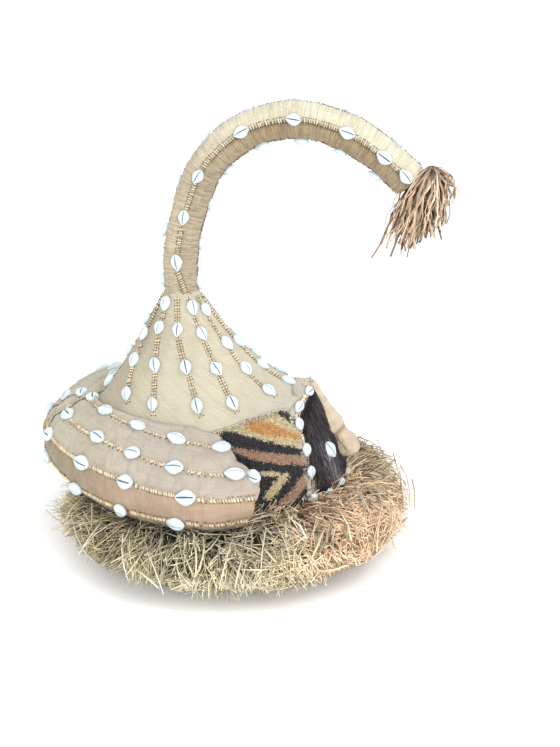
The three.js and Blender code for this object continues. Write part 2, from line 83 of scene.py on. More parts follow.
# %% Lay the floor
FLOOR_PALE, FLOOR_SIZE, FLOOR_ROUGHNESS = (0.97, 0.97, 0.965, 1), 40, 0.9


def put(node, values):
    for label, value in values.items():
        node.inputs[label].default_value = value


bpy.ops.object.select_all(action="DESELECT")
bpy.ops.mesh.primitive_plane_add(size=FLOOR_SIZE)
floor = bpy.context.object
floor.name = "floor"
floor_material = bpy.data.materials.new("pale_floor")
floor_material.use_nodes = True
floor_shader = floor_material.node_tree.nodes["Principled BSDF"]
put(floor_shader, {"Base Color": FLOOR_PALE, "Roughness": FLOOR_ROUGHNESS})
floor.data.materials.append(floor_material)
print("the floor is", FLOOR_SIZE, "m wide")

# %% Hang the lamps
DAYLIGHT, DAYLIGHT_STRENGTH = (0.99, 0.995, 1, 1), 1.25


def softbox(name, place, aim, size, power):
    bpy.ops.object.select_all(action="DESELECT")
    bpy.ops.object.light_add(type="AREA", location=place)
    lamp = bpy.context.object
    lamp.name = name
    lamp.data.size = size
    lamp.data.energy = power
    heading = Vector(aim) - Vector(place)
    lamp.rotation_euler = heading.to_track_quat("-Z", "Y").to_euler()


softbox("key_lamp", place=(-0.7, -1.2, 2.0), aim=(0, 0, 0.2), size=1.0, power=14)
softbox("low_lamp", place=(-1.7, -0.7, 0.55), aim=(0, 0, 0.05), size=0.7, power=16)
softbox("side_lamp", place=(-1.6, 1.2, 1.0), aim=(0, 0, 0.2), size=1.6, power=4)
world = bpy.data.worlds.new("soft_daylight")
world.use_nodes = True
put(world.node_tree.nodes["Background"], {"Color": DAYLIGHT, "Strength": DAYLIGHT_STRENGTH})
bpy.context.scene.world = world
bpy.context.scene.view_settings.view_transform = "Standard"

# %% [markdown]
# ## Small helpers
#
# Colours are written as they are read off a screen, from 0 to 255, and turned into the linear values that a
# shader wants. Lengths are in metres, so most of them are given through a millimetre. Every shape and
# colour here is worked out for all points at once, as one array, since a loop over points would be slow.

# %% Name the small helpers
MM = 0.001


def dye(red, green, blue):
    screen = np.array([red, green, blue]) / 255
    linear = np.where(screen <= 0.04045, screen / 12.92, ((screen + 0.055) / 1.055) ** 2.4)
    return np.append(linear, 1.0)


def lerp(low, high, share):
    return low + (high - low) * share


def smooth(share):
    held = np.clip(share, 0, 1)
    return held * held * (3 - 2 * held)


def unit(vectors):
    return vectors / np.linalg.norm(vectors, axis=-1, keepdims=True)


def blend_dyes(low, high, share):
    return lerp(low[None, :], high[None, :], np.asarray(share)[:, None])


def repeated(row, count):
    return np.repeat(np.asarray(row)[None], count, 0)


print("a straw dye as a shader takes it:", dye(255, 240, 200).round(3))


# %% Pick out, read and move the points of a piece
def set_all(thing, settings):
    for setting, value in settings.items():
        setattr(thing, setting, value)


def only(piece):
    bpy.ops.object.select_all(action="DESELECT")
    piece.select_set(True)
    bpy.context.view_layer.objects.active = piece


def points_of(piece):
    places = np.zeros(len(piece.data.vertices) * 3)
    piece.data.vertices.foreach_get("co", places)
    return places.reshape(-1, 3)


def set_points(piece, points):
    piece.data.vertices.foreach_set("co", np.asarray(points, float).ravel())
    piece.data.update()


def in_edit_mode(piece, *steps):
    only(piece)
    bpy.ops.object.mode_set(mode="EDIT")
    bpy.ops.mesh.select_all(action="SELECT")
    for step, settings in steps:
        step(**settings)
    bpy.ops.object.mode_set(mode="OBJECT")


def applied(piece, kind, **settings):
    only(piece)
    modifier = piece.modifiers.new(kind.title(), kind)
    set_all(modifier, settings)
    bpy.ops.object.modifier_apply(modifier=modifier.name)


# %% Paint a piece, hang it under the root and hide its CAD parts
def paint(piece, dyes):
    layer = piece.data.color_attributes.new("dye", "FLOAT_COLOR", "POINT")
    layer.data.foreach_set("color", np.asarray(dyes, float).ravel())


def hand_over(piece, slot, *nodes):
    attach(piece, "root")
    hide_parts(*nodes)
    print(piece.name, "has", len(piece.data.polygons), "faces")


# %% [markdown]
# ## Shader groups
#
# Raffia cloth is a plain weave of split palm leaf, about one thread to the millimetre. Seen close, warp and
# weft pass over each other, and the threads differ in shade. The first group gives that relief from a flat
# map in metres, and paints shade into the hollows between the threads. The second one lays soft creases over
# it, since old cloth never lies quite flat, and paints shade along them. The third gives the handling stains
# that lie over every old cloth.

# %% Name the node helpers
def node_in(tree, kind, **settings):
    node = tree.nodes.new(kind)
    set_all(node, settings)
    return node


def feed(tree, socket, value):
    if isinstance(value, bpy.types.NodeSocket):
        tree.links.new(value, socket)
    elif value is not None:
        socket.default_value = value


def maths(tree, operation, first, second=None, third=None):
    node = node_in(tree, "ShaderNodeMath", operation=operation)
    for socket, value in zip(node.inputs, (first, second, third)):
        feed(tree, socket, value)
    return node.outputs[0]


def mixed(tree, how, share, first, second):
    node = node_in(tree, "ShaderNodeMix", data_type="RGBA", blend_type=how)
    feed(tree, node.inputs[0], share)
    feed(tree, node.inputs[6], first)
    feed(tree, node.inputs[7], second)
    return node.outputs[2]


# %% Name the texture helpers
def ranged(tree, value, low, high, to_low=0.0, to_high=1.0):
    node = node_in(tree, "ShaderNodeMapRange")
    for socket, number in zip(node.inputs, (value, low, high, to_low, to_high)):
        feed(tree, socket, number)
    return node.outputs[0]


def noise(tree, vector, scale, detail=2.0, roughness=0.5):
    node = node_in(tree, "ShaderNodeTexNoise")
    feed(tree, node.inputs["Vector"], vector)
    feed(tree, node.inputs["Scale"], scale)
    put(node, {"Detail": detail, "Roughness": roughness})
    return node.outputs[0]


def new_group(name, inputs, outputs):
    tree = bpy.data.node_groups.new(name, "ShaderNodeTree")
    for label, kind, value in inputs:
        socket = tree.interface.new_socket(label, in_out="INPUT", socket_type=kind)
        if value is not None:
            socket.default_value = value
    for label, kind in outputs:
        tree.interface.new_socket(label, in_out="OUTPUT", socket_type=kind)
    return tree, tree.nodes.new("NodeGroupInput"), tree.nodes.new("NodeGroupOutput")


# %% Build the raffia weave group
STREAKS_DOWN, STREAKS_ACROSS = (700.0, 40.0, 1.0), (40.0, 700.0, 1.0)
weave, given, result = new_group(
    "raffia_weave",
    [
        ("Vector", "NodeSocketVector", None), ("Threads", "NodeSocketFloat", 430.0),
        ("Slub", "NodeSocketFloat", 0.5), ("Streak", "NodeSocketFloat", 0.25),
    ],
    [("Height", "NodeSocketFloat"), ("Shade", "NodeSocketFloat")],
)
wobble = noise(weave, given.outputs["Vector"], 120.0, 1.0)
wander = maths(weave, "MULTIPLY", maths(weave, "SUBTRACT", wobble, 0.5), given.outputs["Slub"])
parts = node_in(weave, "ShaderNodeSeparateXYZ")
feed(weave, parts.inputs[0], given.outputs["Vector"])
angles = []
for axis in (0, 1):
    threads = maths(weave, "MULTIPLY", parts.outputs[axis], given.outputs["Threads"])
    angles.append(maths(weave, "MULTIPLY", maths(weave, "ADD", threads, wander), math.pi))
waves = [maths(weave, "SINE", angle) for angle in angles]
crossing = maths(weave, "MULTIPLY", waves[0], waves[1])
ridges = []
for wave, sign in zip(waves, (0.45, -0.45)):
    over = maths(weave, "MULTIPLY_ADD", crossing, sign, 0.55)
    ridges.append(maths(weave, "MULTIPLY", maths(weave, "ABSOLUTE", wave), over))
height = maths(weave, "MAXIMUM", ridges[0], ridges[1])
weave.links.new(height, result.inputs["Height"])
thread_tones = []
for streak_scale in (STREAKS_DOWN, STREAKS_ACROSS):
    streak = node_in(weave, "ShaderNodeMapping")
    put(streak, {"Scale": streak_scale})
    feed(weave, streak.inputs["Vector"], given.outputs["Vector"])
    thread_tones.append(noise(weave, streak.outputs[0], 1.0, 1.0))
thread_shade = maths(weave, "SUBTRACT", maths(weave, "ADD", *thread_tones), 1.0)
streaked = maths(weave, "MULTIPLY_ADD", thread_shade, given.outputs["Streak"], 1.0)
# The shade also darkens where the weave is low: painted shade in the hollows between the threads.
shade = maths(weave, "MULTIPLY", streaked, ranged(weave, height, 0.0, 0.5, 0.84, 1.0))
weave.links.new(shade, result.inputs["Shade"])
print("group", weave.name)

# %% Build the crease group
CREASE_WIDTH = 0.035
creases, given, result = new_group(
    "cloth_creases",
    [
        ("Vector", "NodeSocketVector", None), ("Scale", "NodeSocketVector", None),
        ("Amount", "NodeSocketFloat", 0.3),
    ],
    [("Height", "NodeSocketFloat"), ("Shade", "NodeSocketFloat")],
)
stretched = node_in(creases, "ShaderNodeVectorMath", operation="MULTIPLY")
feed(creases, stretched.inputs[0], given.outputs["Vector"])
feed(creases, stretched.inputs[1], given.outputs["Scale"])
drift = noise(creases, stretched.outputs[0], 1.0, 3.0, 0.6)
off_line = maths(creases, "ABSOLUTE", maths(creases, "SUBTRACT", drift, 0.5))
off_crease = ranged(creases, off_line, 0.0, CREASE_WIDTH)
creases.links.new(off_crease, result.inputs["Height"])
# Painted shade: the cloth darkens along each crease, as far as Amount says.
shadow_in_crease = maths(creases, "MULTIPLY", maths(creases, "SUBTRACT", off_crease, 1.0), given.outputs["Amount"])
creases.links.new(maths(creases, "ADD", shadow_in_crease, 1.0), result.inputs["Shade"])
print("group", creases.name)

# %% Build the stain group
SOIL_BROWN = (0.52, 0.42, 0.32, 1)
stains, given, result = new_group(
    "handling_stains",
    [
        ("Vector", "NodeSocketVector", None), ("Size", "NodeSocketFloat", 14.0),
        ("Amount", "NodeSocketFloat", 0.3),
    ],
    [("Shade", "NodeSocketColor")],
)
broad = noise(stains, given.outputs["Vector"], given.outputs["Size"], 4.0, 0.6)
specks = noise(stains, given.outputs["Vector"], 420.0, 2.0, 0.6)
patches = ranged(stains, broad, 0.45, 0.72)
spots = ranged(stains, specks, 0.66, 0.74, 0.0, 0.5)
soiled = maths(stains, "MULTIPLY", maths(stains, "MAXIMUM", patches, spots), given.outputs["Amount"])
stain_shade = mixed(stains, "MIX", soiled, (1, 1, 1, 1), SOIL_BROWN)
stains.links.new(stain_shade, result.inputs["Shade"])
print("group", stains.name)

# %% [markdown]
# ## Cloth and fibre materials
#
# Every cloth takes its main colour from a dye painted on its points. The dye also holds painted light and
# shade: it is lighter on top and darker underneath, at the back and on the side away from the lamps. The
# weave, the creases and the stains are laid over that colour, and the alpha of the dye says how dark the
# painted shade in the creases is. The weave reads the flat map, the stains the place on the object. A
# photographed texture would be quicker, but its threads would stretch where the cloth curves.

# %% Make the cloth material
WEAVE_DEPTH = 0.6 * MM


def new_material(name):
    material = bpy.data.materials.new(name)
    material.use_nodes = True
    tree = material.node_tree
    return material, tree, tree.nodes["Principled BSDF"]


def use_group(tree, group, vector, **values):
    node = tree.nodes.new("ShaderNodeGroup")
    node.node_tree = group
    feed(tree, node.inputs["Vector"], vector)
    put(node, values)
    return node


def raffia_cloth(name, slub=0.8, streak=0.25, stain=0.3, relief=0.3, crease_shadow=0.08, fold=(60, 9, 1)):
    material, tree, shader = new_material(name)
    flat_map = tree.nodes.new("ShaderNodeUVMap").outputs[0]
    place = tree.nodes.new("ShaderNodeTexCoord").outputs["Object"]
    dyed = node_in(tree, "ShaderNodeAttribute", attribute_name="dye")
    colour = dyed.outputs["Color"]
    woven = use_group(tree, weave, flat_map, Slub=slub, Streak=streak)
    creased = use_group(tree, creases, flat_map, Scale=fold)
    feed(tree, creased.inputs["Amount"], maths(tree, "MULTIPLY", dyed.outputs["Alpha"], crease_shadow))
    soiled = use_group(tree, stains, place, Amount=stain)
    shade = maths(tree, "MULTIPLY", woven.outputs["Shade"], creased.outputs["Shade"])
    shaded = mixed(tree, "MULTIPLY", 1.0, colour, shade)
    feed(tree, shader.inputs["Base Color"], mixed(tree, "MULTIPLY", 1.0, shaded, soiled.outputs["Shade"]))
    put(shader, {"Roughness": 0.9, "Sheen Weight": 0.15})
    bump = node_in(tree, "ShaderNodeBump")
    put(bump, {"Strength": relief, "Distance": WEAVE_DEPTH})
    feed(tree, bump.inputs["Height"], maths(tree, "ADD", woven.outputs["Height"], creased.outputs["Height"]))
    feed(tree, shader.inputs["Normal"], bump.outputs[0])
    return material


# %% Make the fibre material
def grained(name, roughness, grain, detail=2.0, limits=(0.3, 0.7, 0.8, 1.1)):
    material, tree, shader = new_material(name)
    place = tree.nodes.new("ShaderNodeTexCoord").outputs["Object"]
    colour = node_in(tree, "ShaderNodeAttribute", attribute_name="dye").outputs["Color"]
    tone = ranged(tree, noise(tree, place, grain, detail), *limits)
    feed(tree, shader.inputs["Base Color"], mixed(tree, "MULTIPLY", 1.0, colour, tone))
    put(shader, {"Roughness": roughness})
    return material, shader


def fibre(name, roughness=0.6, streaks=600.0, sheen=0.1):
    material, shader = grained(name, roughness, streaks)
    put(shader, {"Sheen Weight": sheen})
    return material


# %% [markdown]
# ## The curves of the mask
#
# The hood, the trunk and the ears are sewn over known shapes, so each is written as a place for every share
# of the way round and of the way along. turn runs once round the hood: 0 at the back, a quarter at the
# mask's right side, a half at the face.

# %% Find where the mask's own middle lies in the frame
trunk_low, trunk_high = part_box("trunk")
BASE_BACK_Y = 165 * MM
SHIFT = np.array([(trunk_low.x + trunk_high.x) / 2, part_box("hood")[1].y - BASE_BACK_Y, 0])
print("the mask's middle stands at", SHIFT.round(5))

# %% Write the hood's curves
TOP_Z, TOP_Y, TOP_RADIUS = 290 * MM, 57 * MM, 20 * MM
BASE_HALF_WIDTH, BASE_FRONT_Y = 88 * MM, -90 * MM
BASE_MIDDLE_Y = (BASE_FRONT_Y + BASE_BACK_Y) / 2
BASE_HALF_DEPTH = (BASE_BACK_Y - BASE_FRONT_Y) / 2
SIDE_Z, BROW_RISE, BACK_RISE = 152 * MM, 32 * MM, 9 * MM
CHIN_Z, CHIN_Y = 78 * MM, -133 * MM
NECK_Z, NECK_FRONT_Y, NECK_BACK_Y = 8 * MM, -128 * MM, 126 * MM
DRUM_HALF_WIDTH, NECK_HALF_WIDTH, DRUM_CENTRE_Y = 92 * MM, 86 * MM, 10 * MM


def base_height(turn):
    along = np.cos(turn)
    rise = np.where(along > 0, BACK_RISE * along**2, BROW_RISE * np.abs(along) ** 1.2)
    return SIDE_Z + rise


def on_cone(turn, share):
    flare = 1.25 + 0.6 * np.maximum(0, -np.cos(turn)) ** 2
    drop = 1 - (1 - share) ** flare
    x = -np.sin(turn) * lerp(TOP_RADIUS, BASE_HALF_WIDTH, share)
    y = lerp(TOP_Y + TOP_RADIUS * np.cos(turn), BASE_MIDDLE_Y + BASE_HALF_DEPTH * np.cos(turn), share)
    z = lerp(TOP_Z, base_height(turn), drop)
    return np.stack([x, y, z], -1)


def on_drum(turn, z):
    share = (base_height(turn) - z) / (base_height(turn) - NECK_Z)
    above_chin = (z - CHIN_Z) / (SIDE_Z + BROW_RISE - CHIN_Z)
    below_chin = (CHIN_Z - z) / (CHIN_Z - NECK_Z)
    chin_to_neck = lerp(CHIN_Y, NECK_FRONT_Y, smooth(below_chin))
    front = np.where(z > CHIN_Z, lerp(CHIN_Y, BASE_FRONT_Y, above_chin), chin_to_neck)
    back = lerp(BASE_BACK_Y, NECK_BACK_Y, smooth(share * 1.4))
    middle = lerp(BASE_MIDDLE_Y, DRUM_CENTRE_Y, smooth(share * 2))
    reach = np.where(np.cos(turn) > 0, back - middle, middle - front)
    widening = lerp(BASE_HALF_WIDTH, DRUM_HALF_WIDTH, smooth(share * 3))
    half_width = lerp(widening, NECK_HALF_WIDTH, smooth((share - 0.5) * 2))
    return np.stack([-np.sin(turn) * half_width, middle + reach * np.cos(turn), z + 0 * turn], -1)


print("the cap is", round((TOP_Z - SIDE_Z) / MM), "mm high")
print("the drum is", round(2 * DRUM_HALF_WIDTH / MM), "mm wide")


# %% [markdown]
# ## Laying a cloth
#
# A cloth starts flat, as a grid with its own map. Each of its points is then carried to its place on the
# form, as cloth is laid over a mould, and its map is stretched back to real metres, so that the weave keeps
# its size. Edges that meet are joined by merging their points. Modelling each cloth by hand in edit mode
# would also do, but then nothing would say how large the cloth was before it was sewn.

# %% Map a cloth in metres
def map_in_metres(piece, u, v, points):
    order = np.lexsort((u.round(6), v.round(6)))
    columns = len(np.unique(u.round(6)))
    rows = points[order].reshape(-1, columns, 3)
    round_it = np.cumsum(np.linalg.norm(np.diff(rows, axis=1, prepend=rows[:, :1]), axis=2), axis=1)
    along_it = np.cumsum(np.linalg.norm(np.diff(rows, axis=0, prepend=rows[:1]), axis=2), axis=0)
    metres = np.zeros((len(u), 2))
    metres[order, 0] = (round_it - round_it[:, -1:] / 2).ravel()
    metres[order, 1] = np.repeat(along_it.mean(axis=1), columns)
    corners = np.zeros(len(piece.data.loops), int)
    piece.data.loops.foreach_get("vertex_index", corners)
    piece.data.uv_layers.active.data.foreach_set("uv", metres[corners].ravel())


# %% Name the cloth layer
SAME_PLACE = 0.02 * MM


def laid_cloth(name, across, down, place, dyes, joined=False, sewn=None):
    bpy.ops.object.select_all(action="DESELECT")
    bpy.ops.mesh.primitive_grid_add(x_subdivisions=across, y_subdivisions=down, size=1)
    piece = bpy.context.object
    piece.name = name
    piece.data.name = name
    flat = points_of(piece)
    u, v = flat[:, 0] + 0.5, flat[:, 1] + 0.5
    points = place(u, v) + SHIFT
    map_in_metres(piece, u, v, points)
    paint(piece, dyes(u, v))
    if sewn is not None:
        held = piece.vertex_groups.new(name="sewn")
        held.add(np.flatnonzero(sewn(u, v)).tolist(), 1.0, "REPLACE")
    set_points(piece, points)
    if joined:
        in_edit_mode(
            piece,
            (bpy.ops.mesh.remove_doubles, {"threshold": SAME_PLACE}),
            (bpy.ops.mesh.normals_make_consistent, {"inside": False}),
        )
    only(piece)
    bpy.ops.object.shade_smooth()
    return piece


def plain(colour):
    return lambda u, v: repeated(colour, len(u))


# %% [markdown]
# ## Filling a sewn piece
#
# The trunk, the ears and the nose are sewn shut and stuffed with leaf and cloth, so they swell between
# their seams and pull in at them. Cloth simulation gives that: the seams are held, the cloth is cut a
# little larger than the form, and pressure blows it out. The swelling is then limited, so that the piece
# keeps the size of its CAD solid. Modelled swellings would look alike, and simulated ones differ from place
# to place.

# %% Fill a sewn piece by cloth simulation
FILL_FRAMES, FILL_PRESSURE, EXTRA_CLOTH = 16, 40.0, 0.05
CLOTH_SETTINGS = {
    "vertex_group_mass": "sewn", "mass": 0.1,
    "tension_stiffness": 5, "compression_stiffness": 5, "shear_stiffness": 2, "bending_stiffness": 0.05,
    "shrink_min": -EXTRA_CLOTH, "use_pressure": True, "uniform_pressure_force": FILL_PRESSURE,
}


def filled(piece, most):
    before = points_of(piece)
    modifier = piece.modifiers.new("Filling", "CLOTH")
    set_all(modifier.settings, CLOTH_SETTINGS)
    modifier.settings.effector_weights.gravity = 0
    modifier.point_cache.frame_end = FILL_FRAMES
    for number in range(1, FILL_FRAMES + 1):
        bpy.context.scene.frame_set(number)
    after = points_of(piece.evaluated_get(bpy.context.evaluated_depsgraph_get()))
    piece.modifiers.remove(modifier)
    bpy.context.scene.frame_set(1)
    move = after - before
    size = np.linalg.norm(move, axis=1, keepdims=True)
    set_points(piece, before + move * np.minimum(1, most / np.maximum(size, 1e-6)))
    median, largest = (np.median(size) / MM).round(2), (size.max() / MM).round(1)
    print(piece.name, "swells by", median, "mm, at most", largest, "mm")


def skin_tree(piece):
    return BVHTree.FromPolygons(
        [vertex.co for vertex in piece.data.vertices],
        [list(face.vertices) for face in piece.data.polygons],
    )


# %% [markdown]
# ## The hood
#
# The cap is a cone of raffia cloth that flares down to the brow and the ears, and the drum under it holds
# the head. The cloth is drawn in a little by each row of beads, so it swells slightly between the rows. A
# laid grid suits it better than a lofted cone, because the weave then follows the cloth. Solidify gives it
# a wall inwards, thick enough to hide the backs of the shells, and the hollow for the head stays open.

# %% Write the hood's swelling and its dyes
CONE_ROWS = [5, 37, 66, 96, 120, 148, 174, 200, 226, 253, 281, 310, 338]
CONE_SHARE = 0.55
CREAM, CREAM_SHADE, BROW_GREY = dye(176, 169, 149), dye(156, 146, 124), dye(170, 167, 159)
SWELL, HOOD_WALL = 1.4 * MM, 4 * MM
COLLAR_SHARE, COLLAR_PULL, COLLAR_RISE = 0.05, 0.09, 4 * MM


def round_the_rows(turn):
    degrees = np.degrees(turn) % 360
    stops = np.array([CONE_ROWS[-1] - 360, *CONE_ROWS, CONE_ROWS[0] + 360])
    span = np.searchsorted(stops, degrees, side="right").clip(1, len(stops) - 1)
    return (degrees - stops[span - 1]) / (stops[span] - stops[span - 1])


def hood_place(u, v):
    turn = u * 2 * math.pi
    cone_share = np.minimum(v / CONE_SHARE, 1)
    drum_share = np.clip((v - CONE_SHARE) / (1 - CONE_SHARE), 0, 1)
    cone = on_cone(turn, cone_share)
    drum = on_drum(turn, lerp(base_height(turn), NECK_Z, drum_share))
    place = np.where((v <= CONE_SHARE)[:, None], cone, drum)
    outwards = unit(np.stack([-np.sin(turn) * 1.25, np.cos(turn), 0.4 + 0 * turn], -1))
    swelling = np.sin(round_the_rows(turn) * math.pi) * np.sin(np.pi * cone_share) ** 0.7
    creases = 0.45 * np.sin(turn * 23 + 9 * v) * np.sin(np.pi * cone_share) + 0.3 * np.sin(turn * 11 + 31 * v)
    puff = np.where(v <= CONE_SHARE, SWELL * swelling + 0.5 * MM * creases, 0)
    collar = (1 - smooth(cone_share / COLLAR_SHARE))[:, None]
    gathered_in = np.stack([-place[:, 0], TOP_Y - place[:, 1], 0 * turn], -1) * COLLAR_PULL
    gathered_in[:, 2] += COLLAR_RISE * (1 + 0.35 * np.sin(turn * 5) + 0.25 * np.sin(turn * 13))
    return place + outwards * puff[:, None] * (1 - collar) + gathered_in * collar


def hood_dyes(u, v):
    # Painted shade: the back and the left side of the cap, away from the lamps, turn towards the darker
    # cream.
    shade = 0.5 - 0.5 * np.cos(u * 2 * math.pi + 0.4)
    colours = blend_dyes(CREAM_SHADE, CREAM, smooth(shade * 1.5))
    low = smooth((v - 0.4) / 0.15) * smooth((0.2 - np.abs(u - 0.5)) * 8)
    return lerp(colours, BROW_GREY[None, :], 0.5 * low[:, None])


# %% Lay the hood's cloth
hood = laid_cloth("hood_cloth", 160, 100, hood_place, hood_dyes, joined=True)
hood_skin = skin_tree(hood)
applied(hood, "SOLIDIFY", thickness=HOOD_WALL, offset=-1)
hood.data.materials.append(raffia_cloth("cap_cloth", stain=0.22))
hand_over(hood, "cap_cloth", "hood")


# %% [markdown]
# ## Keeping the hollow clear
#
# The roots of the ears and the back of the nose press against the hood from outside. A point that would
# come through the cloth into the hollow is moved back until it lies inside the hood's wall, where it can't
# be seen.

# %% Keep points out of the hollow
def kept_off_the_lining(points, deepest=2 * MM):
    kept = np.array(points)
    for number, point in enumerate(kept):
        place, outwards, _, _ = hood_skin.find_nearest(Vector(point))
        if (place - Vector(point)).dot(outwards) > deepest:
            kept[number] = place - outwards * deepest
    return kept


middle_of_the_head = np.array([[0, 10, 100]]) * MM + SHIFT
moved = np.abs(kept_off_the_lining(middle_of_the_head) - middle_of_the_head).max()
print("a point in the middle of the hollow is moved by", moved.round(3), "m")

# %% [markdown]
# ## The trunk
#
# The trunk is a stuffed tube of the same cloth, sewn from panels whose seams run along its sides, its top
# and its underside. It is laid as a grid wrapped round the trunk's line, and its two ends are drawn
# together. A curve with a bevel would give the same tube, but its cloth couldn't be filled between the
# seams.

# %% Write the trunk's line
TRUNK_RADIUS = 18.5 * MM
TRUNK_LINE = MM * np.array([
    [57, 284], [56, 335], [45, 382], [23, 430], [-20, 465], [-76, 476], [-130, 461], [-171, 434], [-196, 411],
])


def run_along(points):
    steps = np.linalg.norm(np.diff(points, axis=0), axis=1)
    return np.concatenate([[0], np.cumsum(steps)])


def read_at(where, stops, table):
    return np.stack([np.interp(where, stops, column) for column in np.transpose(table)], -1)


def eased(before, after, leaving, arriving, t):
    place = before * (1 + 2 * t) * (1 - t) ** 2 + after * t**2 * (3 - 2 * t)
    return place + leaving * t * (1 - t) ** 2 + arriving * t**2 * (t - 1)


def curve_through(stops, count):
    lengths = np.sqrt(np.linalg.norm(np.diff(stops, axis=0), axis=1))
    knots = np.concatenate([[0], np.cumsum(lengths)])
    slopes = np.gradient(stops, knots, axis=0)
    where = np.linspace(0, knots[-1], count * 8)
    span = np.searchsorted(knots, where, side="right").clip(1, len(knots) - 1)
    width = (knots[span] - knots[span - 1])[:, None]
    t = ((where - knots[span - 1]) / width[:, 0])[:, None]
    curve = eased(stops[span - 1], stops[span], slopes[span - 1] * width, slopes[span] * width, t)
    run = run_along(curve)
    return read_at(np.linspace(0, run[-1], count), run, curve)


TRUNK_STEPS = 240
TRUNK_STATIONS = np.arange(TRUNK_STEPS + 1)
trunk_curve = curve_through(TRUNK_LINE, TRUNK_STEPS + 1)
trunk_heading = unit(np.gradient(trunk_curve, axis=0))
print("trunk length", round(run_along(trunk_curve)[-1], 4))

# %% Write the trunk's form and its dyes
TRUNK_CREAM, TRUNK_BROWN = dye(178, 165, 140), dye(160, 146, 122)
TRUNK_TOP_LIT, TRUNK_UNDER_SHADED = dye(194, 188, 166), dye(152, 134, 104)
END_ROUND, START_ROUND, SEAM_SHADOW_WIDTH = 0.022, 0.004, 0.2


def on_trunk(angle, share, radius=TRUNK_RADIUS):
    step = np.asarray(share) * TRUNK_STEPS
    y, z = read_at(step, TRUNK_STATIONS, trunk_curve).T
    ahead_y, ahead_z = read_at(step, TRUNK_STATIONS, trunk_heading).T
    side, over = -np.cos(angle), np.sin(angle)
    return np.stack([radius * side, y - radius * over * ahead_z, z + radius * over * ahead_y], -1)


def trunk_place(u, v):
    angle = u * 2 * math.pi
    closing = np.sqrt(np.clip(1 - ((v - (1 - END_ROUND)) / END_ROUND).clip(0, 1) ** 2, 0, 1))
    opening = np.clip(v / START_ROUND, 0, 1)
    lumps = 1 + 0.02 * np.sin(37 * v + 2 * angle) + 0.015 * np.sin(71 * v - angle)
    return on_trunk(angle, v, TRUNK_RADIUS * closing * opening * lumps)


def trunk_dyes(u, v):
    over = np.sin(u * 2 * math.pi)
    arch = smooth((v - 0.3) / 0.25)
    # Along the arch the cream half turns lighter on top and the brown half darker underneath: painted light
    # and shade.
    light = blend_dyes(TRUNK_CREAM, TRUNK_TOP_LIT, arch)
    dark = blend_dyes(TRUNK_BROWN, TRUNK_UNDER_SHADED, arch)
    # Painted shadow: the underside of the arch darkens beside the side seams.
    dark[:, :3] *= 1 - 0.6 * arch[:, None] * np.exp(-((over / SEAM_SHADOW_WIDTH) ** 2))[:, None]
    # The alpha says how dark the painted shade between the cross ribs is, less on the arch's top.
    light[:, 3] = lerp(0.8, 0.15, arch)
    return lerp(dark, light, smooth(0.5 - 6 * over)[:, None])


def trunk_seams(u, v):
    off_seam = np.min([np.abs(u * 4 - seam) for seam in range(5)], axis=0)
    return (off_seam < 0.04) | (v < 0.02)


print("the trunk's tip stands at", on_trunk(0.0, 1.0).round(3))

# %% Lay the trunk's cloth and fill it
CROSS_RIBS = (18, 330, 1)

trunk = laid_cloth("trunk_cloth", 64, 300, trunk_place, trunk_dyes, joined=True, sewn=trunk_seams)
filled(trunk, 2 * MM)
trunk_skin = skin_tree(trunk)
# The creases run across the trunk as cross ribs, with painted shade between them.
trunk_finish = raffia_cloth("trunk_cloth", streak=0.35, relief=0.6, crease_shadow=0.4, fold=CROSS_RIBS)
trunk.data.materials.append(trunk_finish)
hand_over(trunk, "trunk_cloth", "trunk")

# %% [markdown]
# ## The ears
#
# The ears are one broad brim in two stuffed halves that meet behind the head. Each is a loft of the same
# section along its run: a puffed top that falls to the rim, a band round the rim, and a belly underneath.
# The rows of shells lie on corners of that section, so they can later be strung along the same corners.

# %% Write the ear's plan
RIM_CENTRE_Y, RIM_HALF_WIDTH, RIM_HALF_LENGTH = 50 * MM, 141 * MM, 200 * MM
RIM_TURN, RIM_SEAM_ANGLE, RIM_SEAM_Z = math.radians(25), -33.7, 118 * MM
EAR_BULGE, BAND_HEIGHT, BAND_TUCK, BELLY = 8 * MM, 29 * MM, 3 * MM, 9 * MM
ROOT_DROP, ROOT, TIP_TAPER, TIP_LEAD, TIP_FROM = 34 * MM, 5 * MM, 0.86, 17 * MM, 0.85
ROOT_LIFT, ROOT_SINK = 5 * MM, 11 * MM
RIGHT_EAR = {
    "side": -1, "rim_end": -137, "root_end": 107, "end_z": 103 * MM, "settle": 1.3,
    "inner": (0.02, 0.27), "middle": (0.45, 0.7), "edge": (0.88, 1.0),
}
LEFT_EAR = {
    "side": 1, "rim_end": 92, "root_end": 108, "end_z": 156 * MM, "settle": 2.0,
    "inner": (0.3, 0.3), "middle": (0.7, 0.7), "edge": (1.0, 1.0),
}
EARS = {"right": RIGHT_EAR, "left": LEFT_EAR}


def rim_plan(degrees):
    angle = math.radians(degrees)
    lengthways = np.array([math.sin(RIM_TURN), math.cos(RIM_TURN), 0])
    across = np.array([lengthways[1], -lengthways[0], 0])
    middle = np.array([0, RIM_CENTRE_Y, 0])
    return middle + lengthways * RIM_HALF_LENGTH * math.cos(angle) + across * RIM_HALF_WIDTH * math.sin(angle)


print("the rim's foremost point on the right stands at", rim_plan(RIGHT_EAR["rim_end"]).round(3))


